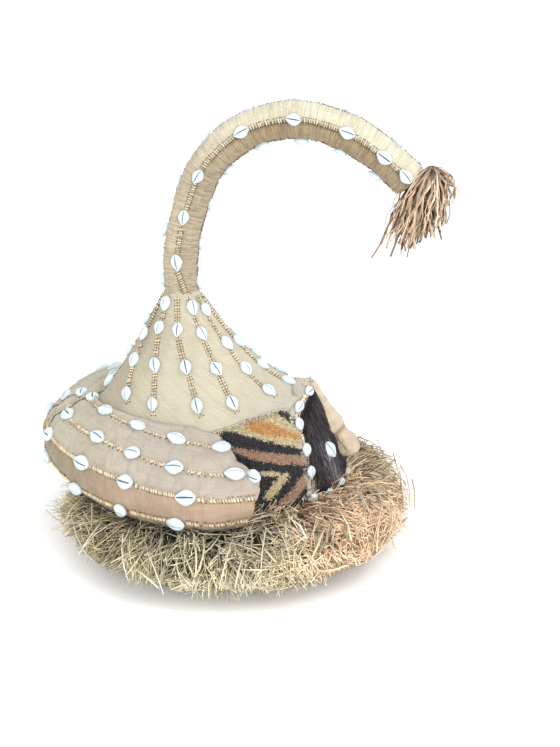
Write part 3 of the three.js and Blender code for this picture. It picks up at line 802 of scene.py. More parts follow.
# %% Write the ear's section
def ear_section(ear, share):
    root = on_cone(np.array(-ear["side"] * math.radians(ear["root_end"] * share)), 1.0)
    rim = rim_plan(lerp(RIM_SEAM_ANGLE, ear["rim_end"], share))
    rim[2] = lerp(RIM_SEAM_Z, ear["end_z"], smooth(share * ear["settle"]))
    outwards = np.array([rim[0] - root[0], rim[1] - root[1], 0])
    tip = smooth((share - TIP_FROM) / (1 - TIP_FROM))
    root[2] += ROOT_LIFT * math.sin(math.pi * min(share, 1)) - ROOT_SINK * tip
    reach = np.linalg.norm(outwards) * lerp(1, TIP_TAPER, tip)
    outwards = unit(outwards)
    ahead = rim_plan(lerp(RIM_SEAM_ANGLE, ear["rim_end"], share + 0.01))
    ahead = unit(ahead - rim_plan(lerp(RIM_SEAM_ANGLE, ear["rim_end"], share)))
    steep = unit(np.array([root[2] - rim[2], reach]))

    def at(out, z, forward=0.0):
        place = root + outwards * out + ahead * TIP_LEAD * tip * forward
        return np.array([place[0], place[1], z])

    def on_top(along, forward):
        puff = 4 * EAR_BULGE * along * (1 - along)
        return at(reach * along + steep[0] * puff, lerp(root[2], rim[2], along) + steep[1] * puff, forward)

    front = smooth((share - 0.4) / 0.6)
    band = BAND_HEIGHT * lerp(0.76, 1, smooth(share * 2))
    inner, middle, edge = [lerp(*ear[line], front) for line in ("inner", "middle", "edge")]
    return np.array([
        at(-ROOT, root[2] + MM),
        on_top(inner, 0.1),
        on_top(middle, 1),
        on_top((middle + edge) / 2, 1),
        on_top(edge, 0.7),
        at(reach - BAND_TUCK, rim[2] - band, 0.12),
        at(reach * 0.6, rim[2] - band - BELLY, 0.1),
        at(-ROOT, rim[2] - ROOT_DROP),
    ])


print("the ear's section has", len(ear_section(RIGHT_EAR, 0.5)), "corners")


# %% Write the rings of an ear
EAR_ROUND, EAR_RUN, END_RINGS, END_LEAD = 64, 150, 8, 4 * MM
EAR_TOP, EAR_FRONT, EAR_BELLY_SHADED = dye(169, 162, 143), dye(164, 154, 142), dye(116, 98, 74)
EAR_BAND, EAR_BAND_BACK_SHADED = dye(163, 141, 119), dye(138, 124, 99)


def rounded(corners, count):
    slopes = (np.roll(corners, -1, axis=0) - np.roll(corners, 1, axis=0)) * 0.42
    where = np.linspace(0, len(corners), count + 1)
    span = where.astype(int) % len(corners)
    following = (span + 1) % len(corners)
    t = (where - where.astype(int))[:, None]
    return eased(corners[span], corners[following], slopes[span], slopes[following], t)


def ear_rings(ear):
    ahead = rim_plan(ear["rim_end"]) - rim_plan(ear["rim_end"] - np.sign(ear["rim_end"]))
    rings = []
    for step in range(EAR_RUN + 1):
        share = np.clip((step - END_RINGS) / (EAR_RUN - 2 * END_RINGS), 0.002, 1)
        ring = rounded(ear_section(ear, share), EAR_ROUND)
        past = max(END_RINGS - step, step - (EAR_RUN - END_RINGS), 0) / END_RINGS
        heart = ring.mean(axis=0)
        at_the_front = step > END_RINGS
        closing = math.sqrt(max(0, 1 - past**2)) ** (1.0 if at_the_front else 0.4)
        ring = heart + (ring - heart) * closing
        if at_the_front:
            ring = ring + unit(ahead) * END_LEAD * past
        rings.append(ring)
    return np.array(rings)


print("an ear is", round(float(np.ptp(ear_rings(RIGHT_EAR)[..., 1])), 3), "m from front to back")


# %% Lay the ears' cloth and fill it
def ear_cloth(name, ear):
    rings = ear_rings(ear)

    def place(u, v):
        return rings[(v * EAR_RUN).round().astype(int), (u * EAR_ROUND).round().astype(int)]

    def dyes(u, v):
        corner = u * 8
        # Painted shade: the darker band and the dark belly face away from the lamps, and the band darkens
        # towards the back.
        top = blend_dyes(EAR_TOP, EAR_FRONT, smooth((v - 0.35) * 2.5))
        band = blend_dyes(EAR_BAND_BACK_SHADED, EAR_BAND, smooth((v - 0.3) * 2.5))
        colours = lerp(top, band, smooth((corner - 3.9) * 4)[:, None])
        return lerp(colours, EAR_BELLY_SHADED[None, :], smooth((corner - 5.1) * 3)[:, None])

    def on_seams(u, v):
        off_row = np.min([np.abs(u * 8 - corner) for corner in (0, 1, 2, 4, 5, 7, 8)], axis=0)
        return (off_row < 0.07) | (v < 0.06)

    piece = laid_cloth(name, EAR_ROUND, EAR_RUN, place, dyes, joined=True, sewn=on_seams)
    filled(piece, 4 * MM)
    set_points(piece, kept_off_the_lining(points_of(piece)))
    return piece


ear_skins = {}
for side, ear in EARS.items():
    piece = ear_cloth(f"{side}_ear_cloth", ear)
    ear_skins[side] = skin_tree(piece)
    piece.data.materials.append(raffia_cloth(f"{side}_ear_cloth", stain=0.35))
    hand_over(piece, "ear_cloth", f"{side}_ear")


# %% [markdown]
# ## Gathering many small shapes
#
# Shells, beads, hairs and strands of raffia come in hundreds and thousands. Each is modelled or written
# once, and its copies are gathered into one mesh for the piece they belong to, each copy with its own dye.
# A particle or hair system would be less work, but its strands wouldn't reach the exported mesh.

# %% Name the gathering helpers
class Gathered:
    def __init__(self):
        self.points, self.triangles, self.dyes, self.slots, self.count = [], [], [], [], 0

    def add(self, points, triangles, dyes, slots=0):
        self.points.append(points)
        self.triangles.append(triangles + self.count)
        self.dyes.append(np.broadcast_to(dyes, (len(points), 4)))
        self.slots.append(np.broadcast_to(slots, len(triangles)))
        self.count += len(points)

    def add_copies(self, shape, middles, axes, sizes, dyes):
        points, triangles, slots = shape
        sized = points[None, :, :] * sizes[:, None, :]
        placed = middles[:, None, :] + sum(sized[:, :, i, None] * axes[i][:, None, :] for i in range(3))
        steps = (np.arange(len(middles)) * len(points))[:, None, None]
        many = (triangles[None, :, :] + steps).reshape(-1, 3)
        painted = np.repeat(dyes, len(points), axis=0)
        self.add(placed.reshape(-1, 3), many, painted, np.tile(slots, len(middles)))

    def piece(self, name, materials):
        points, triangles = np.concatenate(self.points), np.concatenate(self.triangles)
        mesh = bpy.data.meshes.new(name)
        mesh.vertices.add(len(points))
        mesh.vertices.foreach_set("co", points.ravel())
        mesh.loops.add(triangles.size)
        mesh.loops.foreach_set("vertex_index", triangles.ravel())
        mesh.polygons.add(len(triangles))
        mesh.polygons.foreach_set("loop_start", np.arange(0, triangles.size, 3))
        mesh.polygons.foreach_set("material_index", np.concatenate(self.slots))
        mesh.update(calc_edges=True)
        piece = bpy.data.objects.new(name, mesh)
        bpy.context.scene.collection.objects.link(piece)
        paint(piece, np.concatenate(self.dyes))
        for material in materials:
            mesh.materials.append(material)
        mesh.polygons.foreach_set("use_smooth", np.ones(len(triangles), bool))
        return piece


# %% Take a modelled shape apart
def shape_of(piece):
    piece.data.calc_loop_triangles()
    triangles = np.array([triangle.vertices for triangle in piece.data.loop_triangles])
    slots = np.array([triangle.material_index for triangle in piece.data.loop_triangles])
    points = points_of(piece)
    bpy.data.objects.remove(piece)
    return points, triangles, slots


# %% [markdown]
# ## Strands
#
# A thread, a hair or a blade of raffia is the same small thing at this size: a three-sided tube along its
# own line, flat for a blade and round for a thread. It ends in a tip, or blunt where it was cut.

# %% Write a strand
TIP_SHARE = 0.75


def tube_triangles(rings, blunt):
    triangles = [[0, 2, 1]]
    last = (rings - 1) * 3
    for start in range(0, last, 3):
        for corner in range(3):
            a, b = start + corner, start + (corner + 1) % 3
            triangles += [[a, b, b + 3], [a, b + 3, a + 3]]
    if blunt:
        return np.array([*triangles, [last, last + 1, last + 2]])
    tip = [[last + corner, last + (corner + 1) % 3, last + 3] for corner in range(3)]
    return np.array(triangles + tip)


def strands(lines, widths, dyes, flatness=0.45, root_shade=1.0, blunt=False):
    count, stations = lines.shape[:2]
    ringed = stations if blunt else stations - 1
    heading = unit(np.gradient(lines, axis=1))
    turning = unit(chance.normal(size=(count, 1, 3)))
    side = unit(np.cross(heading, turning))
    over = np.cross(heading, side)
    reach = widths[:, None, None] / 2 * np.linspace(1, TIP_SHARE, stations)[None, :, None]
    rings = []
    for angle in (0, 2 * math.pi / 3, 4 * math.pi / 3):
        rings.append(lines + reach * (side * math.cos(angle) + over * math.sin(angle) * flatness))
    points = np.stack(rings, axis=2)[:, :ringed].reshape(count, -1, 3)
    if not blunt:
        points = np.concatenate([points, lines[:, -1:]], axis=1)
    steps = (np.arange(count) * points.shape[1])[:, None, None]
    triangles = (tube_triangles(ringed, blunt)[None] + steps).reshape(-1, 3)
    # Painted shade: each strand is darker towards its root, as root_shade says, where the strands shade each
    # other.
    shades = lerp(root_shade, 1, smooth(np.linspace(0, 1.5, stations)))
    shades = np.append(np.repeat(shades[:ringed], 3), shades[ringed:])[None, :, None]
    shaded = dyes[:, None, :] * np.concatenate([shades, shades, shades, np.ones_like(shades)], axis=2)
    return points.reshape(-1, 3), triangles, shaded.reshape(-1, 4)


# %% Gather strands into a piece
def fibre_piece(name, material, slot, node, *bundles):
    gathered = Gathered()
    for bundle in bundles:
        gathered.add(*bundle)
    hand_over(gathered.piece(name, (material,)), slot, node)


# %% Vary the dyes of small shapes
def any_of(dyes, count):
    return np.array(dyes)[chance.integers(0, len(dyes), count)]


def varied(dyes, low, high):
    toned = np.array(dyes)
    toned[:, :3] *= chance.uniform(low, high, (len(toned), 1))
    return toned


# %% [markdown]
# ## Cowries and beads
#
# The shells are money cowries, sewn with their slit outwards. One shell is modelled from a sphere:
# stretched to an egg, narrowed towards its front end, and its middle line bevelled and pressed in for the
# slit. Hundreds of copies follow, so the shell has few faces, and the beads have fewer still.

# %% Model one cowrie
def select_edges(piece, wanted):
    only(piece)
    bpy.ops.object.mode_set(mode="EDIT")
    bpy.ops.mesh.select_mode(type="EDGE")
    bpy.ops.mesh.select_all(action="DESELECT")
    bpy.ops.object.mode_set(mode="OBJECT")
    for edge in piece.data.edges:
        ends = [piece.data.vertices[i].co for i in edge.vertices]
        edge.select = wanted(*ends)


SLIT_HALF_WIDTH, SLIT_DEPTH = 0.055, 0.14
SHELL_WIDTH, SHELL_HEIGHT, FRONT_NARROWING, END_NARROWING = 0.78, 0.52, 0.22, 0.22


def press_the_slit(shell):
    select_edges(shell, lambda a, b: abs(a.y) + abs(b.y) < 0.01 and min(a.z, b.z) > 0.2)
    bpy.ops.object.mode_set(mode="EDIT")
    bpy.ops.mesh.bevel(offset=SLIT_HALF_WIDTH, segments=1, affect="EDGES")
    bpy.ops.mesh.select_mode(type="FACE")
    bpy.ops.mesh.extrude_region_move(TRANSFORM_OT_translate={"value": (0, 0, -SLIT_DEPTH)})
    shell.active_material_index = 1
    bpy.ops.object.material_slot_assign()
    bpy.ops.object.mode_set(mode="OBJECT")


def model_cowrie(shell_material, slit_material):
    bpy.ops.object.select_all(action="DESELECT")
    bpy.ops.mesh.primitive_uv_sphere_add(segments=16, ring_count=10, radius=0.5, rotation=(0, math.pi / 2, 0))
    shell = bpy.context.object
    bpy.ops.object.transform_apply(location=True, rotation=True, scale=True)
    shell.data.materials.append(shell_material)
    shell.data.materials.append(slit_material)
    press_the_slit(shell)
    points = points_of(shell)
    narrow = 1 - FRONT_NARROWING * smooth((0.1 - points[:, 0]) / 0.6)
    points[:, 1] *= SHELL_WIDTH * narrow * (1 - END_NARROWING * np.abs(2 * points[:, 0]) ** 1.5)
    points[:, 2] *= SHELL_HEIGHT * narrow
    set_points(shell, points)
    return shape_of(shell)


# %% Model the beads and give each its finish
BEAD_SLOT = 2
SHELL_WHITE, SLIT_SHADOW = dye(198, 213, 219), dye(84, 86, 96)


def model_bead(segments, rings):
    bpy.ops.object.select_all(action="DESELECT")
    bpy.ops.mesh.primitive_uv_sphere_add(segments=segments, ring_count=rings, radius=0.5)
    points, triangles, slots = shape_of(bpy.context.object)
    return points, triangles, slots + BEAD_SLOT


shell_white, shell_shader = grained("cowrie_shell", 0.32, 90.0, detail=3.0, limits=(0.35, 0.7, 0.9, 1.03))
put(shell_shader, {"Coat Weight": 0.25})
# The slit's dark colour is painted shade, the shade inside the shell's narrow opening.
slit_shadow, _, slit_shader = new_material("shell_slit")
put(slit_shader, {"Base Color": tuple(SLIT_SHADOW), "Roughness": 0.8, "Sheen Weight": 0.1})
bead_tan = fibre("bead_tan", roughness=0.45, streaks=900.0)
COWRIE = model_cowrie(shell_white, slit_shadow)
ROUND_BEAD, DOT = model_bead(6, 4), model_bead(4, 3)
print("a cowrie has", len(COWRIE[1]), "triangles, a bead", len(ROUND_BEAD[1]))

# %% [markdown]
# ## Rows
#
# A row is a line over the cloth. It is dropped onto the finished cloth first, so that shells and beads sit
# on it from every side. Cowries come at set shares of the row, and beads or overcast stitches fill the way
# between.

# %% Drop a line onto its cloth
DROP_FROM, DROP_DEPTH = 14 * MM, 40 * MM


def met_by_ray(skin, start, heading, depth, near):
    hit, up, _, _ = skin.ray_cast(start, heading, depth)
    if hit is None:
        hit, up, _, _ = skin.find_nearest(near)
    return hit, (-up if up.dot(heading) > 0 else up)


def seated(skin, points, normals, lift=0.0):
    places, ups = [], []
    for point, normal in zip(points, normals):
        start = Vector(point + normal * DROP_FROM)
        hit, up = met_by_ray(skin, start, Vector(-normal), DROP_DEPTH, Vector(point))
        places.append(hit)
        ups.append(up)
    places, ups = np.array(places), unit(np.array(ups))
    return places + ups * lift, ups


def along_row(places, values, distances):
    run = run_along(places)
    return read_at(distances, run, values), run[-1]


# %% [markdown]
# ## Kinds of stringing
#
# Four kinds of stringing fill the way between the shells. The cap has pairs of round beads side by side,
# like a ladder. The trunk has narrow overcast stitches. The rims have fat beads that lean like the turns of
# a rope, and the tops of the ears have beads that lean to and fro. Small dark dots beside them are painted
# shade, in the gaps between the beads.

# %% Name the kinds of stringing
THREAD_DARK, GAP_SHADOW = dye(72, 54, 36), dye(50, 36, 24)
PALE_BEADS = [dye(206, 188, 152), dye(186, 168, 134), dye(216, 202, 172)]
LADDER = {
    "pitch": 3.3 * MM, "lean": 0.0, "to_and_fro": False, "sides": (-1.5, 1.5), "lift": 0.9,
    "size": (2.5, 2.9, 2.2), "dot_side": 2.7, "dyes": PALE_BEADS,
}
STITCH = {
    "pitch": 2.7 * MM, "lean": 0.08, "to_and_fro": False, "sides": (0,), "lift": 0.7,
    "size": (1.5, 5.6, 1.5), "dot_side": 2.9,
    "dyes": [dye(204, 190, 156), dye(184, 170, 136), dye(216, 206, 178)],
}
ROPE = {
    "pitch": 3.0 * MM, "lean": 0.42, "to_and_fro": False, "sides": (0,), "lift": 0.7,
    "size": (2.7, 5.6, 3.6), "dot_side": 3.3,
    "dyes": [dye(206, 186, 152), dye(188, 166, 132), dye(216, 200, 170)],
}
ZIGZAG = {
    "pitch": 3.2 * MM, "lean": 0.6, "to_and_fro": True, "sides": (0,), "lift": 0.7,
    "size": (2.4, 5.2, 2.8), "dot_side": 3.0, "dyes": PALE_BEADS,
}
DOT_SIZE, DOT_LIFT = (1.6, 1.4, 1.2), 0.3
print("beads to 100 mm:", [round(100 * MM / kind["pitch"]) for kind in (LADDER, STITCH, ROPE, ZIGZAG)])


# %% String the beads between the shells
def frame_on(line, ups, distances):
    middles, whole = along_row(line, line, distances)
    ahead, _ = along_row(line, line, np.minimum(distances + MM, whole))
    behind, _ = along_row(line, line, np.maximum(distances - MM, 0))
    up = unit(along_row(line, ups, distances)[0])
    along = unit(ahead - behind)
    across = unit(np.cross(up, along))
    return middles, unit(np.cross(across, up)), across, up


def turned(along, across, angles):
    cosine, sine = np.cos(angles)[:, None], np.sin(angles)[:, None]
    return along * cosine + across * sine, across * cosine - along * sine


def string_beads(row, line, ups, stops, kind):
    if len(stops) == 0:
        return
    places, along, across, up = frame_on(line, ups, stops)
    count = len(stops)
    dyes = varied(any_of(kind["dyes"], count), 0.8, 1.08)
    fro = np.where(kind["to_and_fro"] & (np.arange(count) % 2 == 1), -1, 1)
    along, across = turned(along, across, kind["lean"] * fro + chance.normal(0, 0.1, count))
    axes = [along, across, up]
    size = chance.uniform(0.88, 1.12, (count, 1)) * MM
    for side in kind["sides"]:
        middles = places + (across * side + up * kind["lift"]) * MM
        row.add_copies(ROUND_BEAD, middles, axes, size * np.array([kind["size"]]), dyes)
    # The dark dots beside the beads are painted shade, in the gaps between them.
    for side in (-kind["dot_side"], kind["dot_side"]):
        middles = places + (across * side + up * DOT_LIFT) * MM + along * kind["pitch"] / 2
        row.add_copies(DOT, middles, axes, size * np.array([DOT_SIZE]), repeated(GAP_SHADOW, count))


# %% String a row with its shells
SHELL_LIFT, THREAD_WIDTH, THREAD_LIFT, THREAD_STEP = 0.15, 0.8 * MM, 0.15 * MM, 6 * MM


def bead_row(
    node, skin, points, normals, shells, length, kind,
    heads=1, facing=(0, 0, 0), end_room=0.5, tail=1.0,
):
    line, ups = seated(skin, points + SHIFT, normals)
    ups = unit(ups + np.array(facing))
    whole = run_along(line)[-1]
    row = Gathered()
    middles = np.clip(np.array(shells) * whole, length / 2, whole - length * end_room)
    places, along, across, up = frame_on(line, ups, middles)
    along, across = turned(along, across, chance.normal(0, 0.12, len(middles)))
    size = length * chance.uniform(0.93, 1.05, len(middles))[:, None] * np.ones(3)
    axes = [along * heads, across * heads, up]
    row.add_copies(COWRIE, places + up * length * SHELL_LIFT, axes, size, repeated(SHELL_WHITE, len(middles)))
    run = min(whole, middles.max() + tail)
    stops = np.arange(kind["pitch"] / 2, run, kind["pitch"])
    stops = stops + chance.normal(0, 0.12, len(stops)) * kind["pitch"]
    clear = np.min(np.abs(stops[:, None] - middles[None, :]), axis=1) > length / 2 - 0.2 * MM
    string_beads(row, line, ups, stops[clear & (chance.random(len(stops)) > 0.04)], kind)
    core = np.linspace(0, run, max(8, int(run / THREAD_STEP)))
    thread, _, _, thread_up = frame_on(line, ups, core)
    thread = thread + thread_up * THREAD_LIFT
    row.add(*strands(thread[None], np.array([THREAD_WIDTH]), THREAD_DARK[None]), slots=BEAD_SLOT)
    piece = row.piece(node + "_beads", (shell_white, slit_shadow, bead_tan))
    hand_over(piece, "shells_and_beads", node)


# %% [markdown]
# ## Rows of the cap
#
# Thirteen rows fall from the top of the cap to its edge. They aren't quite straight: some drift sideways at
# their foot or near the top, and those towards the face hold their shells lower and carry one more near the
# top.

# %% String the rows down the cap
CONE_SHELLS = [0.25, 0.54, 0.845]
FRONT_SHELLS = {
    37: [0.33, 0.54, 0.81], 120: [0.3, 0.59, 0.88], 148: [0.44, 0.69, 0.94],
    174: [0.44, 0.69, 0.92], 200: [0.42, 0.67, 0.92],
}
HIGH_CONE_SHELLS = {66: 0.03, 120: 0.09, 148: 0.13, 226: 0.09, 253: 0.13}
ROW_DRIFT = {5: (-4.6, 1.4), 37: (-8, 16), 66: (-8, 5.5), 96: (-9, 3.5), 120: (-1, -0.8)}
SMALL_SHELL, LARGE_SHELL = 17.5 * MM, 22 * MM


def cap_row(degrees):
    turn = math.radians(degrees)
    end = 0.9 if degrees == 174 else lerp(0.94, 0.82, smooth(-math.cos(turn) * 2 - 1))
    shares = np.linspace(0.015, end, 60)
    high_drift, low_drift = ROW_DRIFT.get(degrees, (0, 0))
    drift = np.radians(np.interp(shares, CONE_SHELLS, [high_drift, 0, low_drift]))
    line = on_cone(turn + drift, shares)
    round_it = np.array([-math.cos(turn) * BASE_HALF_WIDTH, -math.sin(turn) * BASE_HALF_DEPTH, 0])
    normals = unit(np.cross(unit(np.gradient(line, axis=0)), unit(round_it)[None, :]))
    if normals[30, 0] * line[30, 0] + normals[30, 1] * (line[30, 1] - TOP_Y) < 0:
        normals = -normals
    return line, normals


for number, degrees in enumerate(CONE_ROWS, 1):
    line, normals = cap_row(degrees)
    high = [HIGH_CONE_SHELLS[degrees]] if degrees in HIGH_CONE_SHELLS else []
    shells = high + FRONT_SHELLS.get(degrees, CONE_SHELLS)
    node = f"cone_row_{number:02d}"
    bead_row(node, hood_skin, line, normals, shells, SMALL_SHELL, LADDER, heads=-1, tail=0.7 * SMALL_SHELL)

# %% [markdown]
# ## Rows of the trunk and the ears
#
# The trunk's four seams are covered by rows that start where it leaves the cap. On the ears two rows run
# over the top and two along the rim's edges, and each of them follows its own corner of the ear's section.

# %% String the seams of the trunk
SIDE_SHELLS = [0.094, 0.219, 0.335, 0.5, 0.642, 0.785, 0.9, 0.975]
TOP_SHELLS = [0.03, 0.156, 0.281, 0.406, 0.531, 0.656, 0.781, 0.906]
TRUNK_FOOT, FOOT_TURN, FOOT_SHARE = 0.0135, 0.55, 0.085
TRUNK_SEAMS = {
    "right": (0, FOOT_TURN, SIDE_SHELLS), "under": (90, 0, TOP_SHELLS),
    "left": (180, -FOOT_TURN, SIDE_SHELLS), "top": (270, 0, TOP_SHELLS),
}

for seam, (degrees, forward, shells) in TRUNK_SEAMS.items():
    shares = np.linspace(TRUNK_FOOT, 0.992, 160)
    angle = math.radians(degrees) + forward * np.clip(1 - shares / FOOT_SHARE, 0, 1)
    line = on_trunk(angle, shares)
    normals = unit(line - on_trunk(angle, shares, 0.5 * TRUNK_RADIUS))
    bead_row(f"trunk_row_{seam}", trunk_skin, line, normals, shells, SMALL_SHELL, STITCH)

# %% String the rows of the ears
EAR_ROWS = {
    "inner": (1, [0.06, 0.29, 0.52, 0.74, 0.96]),
    "middle": (2, [0.12, 0.365, 0.54, 0.71, 0.915, 1]),
    "upper_rim": (4, [0.12, 0.375, 0.57, 0.78]),
    "lower_rim": (5, [0.11, 0.36, 0.57, 0.77]),
}
LOW_RIM_LIFT = 0.12

for side, ear in EARS.items():
    for row, (corner, shells) in EAR_ROWS.items():
        end = 1.025 if row == "middle" else 1
        sections = np.array([ear_section(ear, share) for share in np.linspace(0.012, end, 90)])
        line = sections[:, corner]
        before = unit(line - sections[:, corner - 1])
        after = unit(sections[:, corner + 1] - line)
        if row == "lower_rim":
            line = lerp(line, sections[:, corner - 1], LOW_RIM_LIFT)
            after = before
        normals = unit(np.cross(before + after, np.gradient(line, axis=0))) * -ear["side"]
        node = f"{side}_ear_row_{row}"
        kind = ROPE if row.endswith("rim") else ZIGZAG
        bead_row(node, ear_skins[side], line, normals, shells, LARGE_SHELL, kind, end_room=0.15)

# %% [markdown]
# ## Mends and the join behind the head
#
# The top of each ear was torn near the join and sewn up again with dark thread, in stitches of uneven
# length. Where the two ears meet, a cord of two plies is laid in the join and sewn down, so that no slit is
# left. The plies wind round each other as a twisted cord's do.

# %% Mend each ear near the join
MEND_SHARE, MEND_STITCHES, MEND_POINTS, MEND_LENGTH = 0.085, 15, 40, 6 * MM
MEND_LIFT, MEND_WIDTH, STITCH_WIDTH = 0.4 * MM, 1.1 * MM, 0.7 * MM
mend_fibre = fibre("mending_thread", roughness=0.8)

for side, ear in EARS.items():
    section = curve_through(ear_section(ear, MEND_SHARE)[1:5], MEND_POINTS)
    line, ups = seated(ear_skins[side], section + SHIFT, repeated([0, 0, 1.0], MEND_POINTS), MEND_LIFT)
    seam = strands(line[None], np.array([MEND_WIDTH]), THREAD_DARK[None])
    stops = np.sort(chance.uniform(0.02, 0.95, MEND_STITCHES)) * run_along(line)[-1]
    places, along, across, up = frame_on(line, ups, stops)
    along, across = turned(along, across, chance.normal(0, 0.6, MEND_STITCHES))
    reach = across * chance.uniform(0.4, 1.2, (MEND_STITCHES, 1)) * MEND_LENGTH
    crossing = np.stack([places - reach, places + up * 0.8 * MM, places + reach * 0.6], axis=1)
    widths = np.full(MEND_STITCHES, STITCH_WIDTH)
    stitches = strands(crossing, widths, repeated(THREAD_DARK, MEND_STITCHES))
    fibre_piece(f"{side}_ear_mending", mend_fibre, "ear_cloth", f"{side}_ear", seam, stitches)

# %% Lay a cord in the join between the ears
CORD_POINTS, CORD_TURNS, CORD_RADIUS, CORD_PLY = 420, 46, 1.1 * MM, 2.6 * MM
CORD_DYES = [dye(196, 178, 146), dye(170, 150, 116)]
JOIN_SHARE = 0.002

join = (ear_section(RIGHT_EAR, JOIN_SHARE) + ear_section(LEFT_EAR, JOIN_SHARE)) / 2
join = rounded(join, EAR_ROUND) + SHIFT
cord_line, _ = along_row(join, join, np.linspace(0, run_along(join)[-1], CORD_POINTS))
cord_out = unit(cord_line - join.mean(axis=0))
cord_side = unit(np.cross(cord_out, np.gradient(cord_line, axis=0)))
plies = []
for ply, ply_dye in enumerate(CORD_DYES):
    phase = (np.linspace(0, CORD_TURNS, CORD_POINTS) + ply / 2)[:, None] * 2 * math.pi
    wound = cord_line + CORD_RADIUS * (cord_out * (0.6 + np.cos(phase)) + cord_side * np.sin(phase))
    plies.append(strands(wound[None], np.array([CORD_PLY]), ply_dye[None], flatness=1.0))
fibre_piece("ear_join_cord", mend_fibre, "ear_cloth", "right_ear", *plies)


# %% [markdown]
# ## The face
#
# The face is a panel of dark monkey fur with a stuffed cream border round it, cowries for eyes, a rolled
# cloth nose and a greyish cloth band under it for the chin. All of them are drawn on the front view, then
# dropped onto the hood, so they follow its curve. Cutting them from a copy of the hood would follow it too,
# but their edges would then step along the hood's own faces.

# %% Draw an outline on the front view
def drawn(start, *strokes):
    points = [np.array(start, float)]
    for stroke in strokes:
        if len(stroke) == 2:
            points.append(np.array(stroke, float))
            continue
        origin, control, end = points[-1], np.array(stroke[:2], float), np.array(stroke[2:], float)
        for t in np.linspace(0.125, 1, 8):
            points.append(origin * (1 - t) ** 2 + control * 2 * t * (1 - t) + end * t**2)
    return np.array(points) * MM


def along_outline(points, shares):
    run = run_along(points)
    return read_at(np.asarray(shares) * run[-1], run, points)


def both_halves(half):
    mirrored = half[::-1] * np.array([-1, 1])
    return np.concatenate([half, mirrored[1:]])


VIEW_FROM, VIEW_TO, BACKWARDS = -0.4, 0.6, Vector((0, 1, 0))


def dropped(front, lift):
    places = []
    for (x, z), height in zip(front, np.broadcast_to(lift, len(front))):
        start, near = Vector((x + SHIFT[0], VIEW_FROM, z)), Vector((x + SHIFT[0], -0.1, z))
        hit, up = met_by_ray(hood_skin, start, BACKWARDS, VIEW_TO, near)
        places.append(np.array(hit) - SHIFT + np.array(up) * height)
    return np.array(places)


# %% Back a cloth with its wall
def stretched_sheet(piece):
    corners = np.zeros(len(piece.data.loops) * 2)
    piece.data.uv_layers.active.data.foreach_get("uv", corners)


def backed(piece, wall, material, slot, node):
    in_edit_mode(piece, (bpy.ops.mesh.normals_make_consistent, {"inside": False}))
    applied(piece, "SOLIDIFY", thickness=wall, offset=-1)
    piece.data.materials.append(material)
    hand_over(piece, slot, node)


# %% Lay the pelt
PELT_SIDE = drawn((0, 182), (-44, 177, -50, 148), (-54, 102), (-54, 84, -42, 81))
PELT_HALF = np.concatenate([PELT_SIDE, MM * np.array([[-26, 84], [-12, 92], [0, 98]])])
PELT_RING, PELT_HEART = both_halves(PELT_HALF), np.array([0, 132]) * MM
PELT_DARK, PELT_WALL, PELT_LIFT = dye(40, 34, 32), 2 * MM, 3.2 * MM
FACE_WALL = 1.5 * MM


def pelt_place(u, v):
    ring = along_outline(PELT_RING, u)
    return dropped(PELT_HEART + (ring - PELT_HEART) * v[:, None], PELT_LIFT * np.sqrt(1 - 0.8 * v**4))


pelt = laid_cloth("pelt_skin", 72, 16, pelt_place, plain(PELT_DARK), joined=True)
pelt_skin = skin_tree(pelt)
backed(pelt, PELT_WALL, fibre("pelt_skin", roughness=0.8), "fur", "face_pelt")
print("the pelt is", round(float(np.ptp(PELT_RING[:, 0])), 3), "wide")

# %% Lay the border round the pelt
BORDER_CREAM, BORDER_SHADE = dye(172, 167, 154), dye(146, 137, 117)
BORDER_INSIDE = both_halves(drawn((0, 181), (-43, 176, -49, 148), (-53, 102), (-53, 82))[::-1])
BORDER_OUTSIDE = both_halves(drawn((0, 188), (-54, 186, -61, 150), (-66, 101), (-66, 82))[::-1])
BORDER_LIFT, BORDER_ROLL, BORDER_WRINKLE = 0.5 * MM, 1.9 * MM, 0.2 * MM


def border_place(u, v):
    inner, outer = along_outline(BORDER_INSIDE, u), along_outline(BORDER_OUTSIDE, u)
    roll = np.sin(np.pi * np.clip(v, 0, 1)) ** 0.6
    lift = BORDER_LIFT + BORDER_ROLL * roll + BORDER_WRINKLE * np.sin(u * 190) * roll
    return dropped(inner + (outer - inner) * v[:, None], lift)


def border_dyes(u, v):
    # Painted shade: the roll darkens towards both its edges, where it curves down to the pelt and the hood.
    return blend_dyes(BORDER_CREAM, BORDER_SHADE, smooth(np.abs(v - 0.5) * 2 - 0.4))


border = laid_cloth("border_cloth", 160, 12, border_place, border_dyes)
border_skin = skin_tree(border)
backed(border, FACE_WALL, raffia_cloth("border_cloth", stain=0.25), "cap_cloth", "face_border")

# %% Stretch the cloth of the chin
CHIN_GREY, CHIN_LIGHT, CHIN_HALF = dye(146, 138, 128), dye(184, 178, 170), 72 * MM
CHIN_TOP = MM * np.array([[0, 99], [20, 94], [42, 84], [60, 82], [72, 76]])


def chin_place(u, v):
    x = lerp(-CHIN_HALF, CHIN_HALF, u)
    top = np.interp(np.abs(x), CHIN_TOP[:, 0], CHIN_TOP[:, 1])
    bottom = (62 + 6 * (np.abs(x) / CHIN_HALF) ** 2) * MM
    gathers = 0.5 * MM * np.sin(x / MM * 1.1) * np.sin(np.pi * v)
    swell = smooth((1 - np.abs(2 * u - 1)) * 6) * (1.2 + 2.4 * np.sin(np.pi * v)) * MM
    return dropped(np.stack([x, lerp(top, bottom, v)], -1), 0.8 * MM + swell + gathers)


def chin_dyes(u, v):
    return blend_dyes(CHIN_GREY, CHIN_LIGHT, 0.5 + 0.5 * np.sin(u * 40) * np.cos(v * 5))


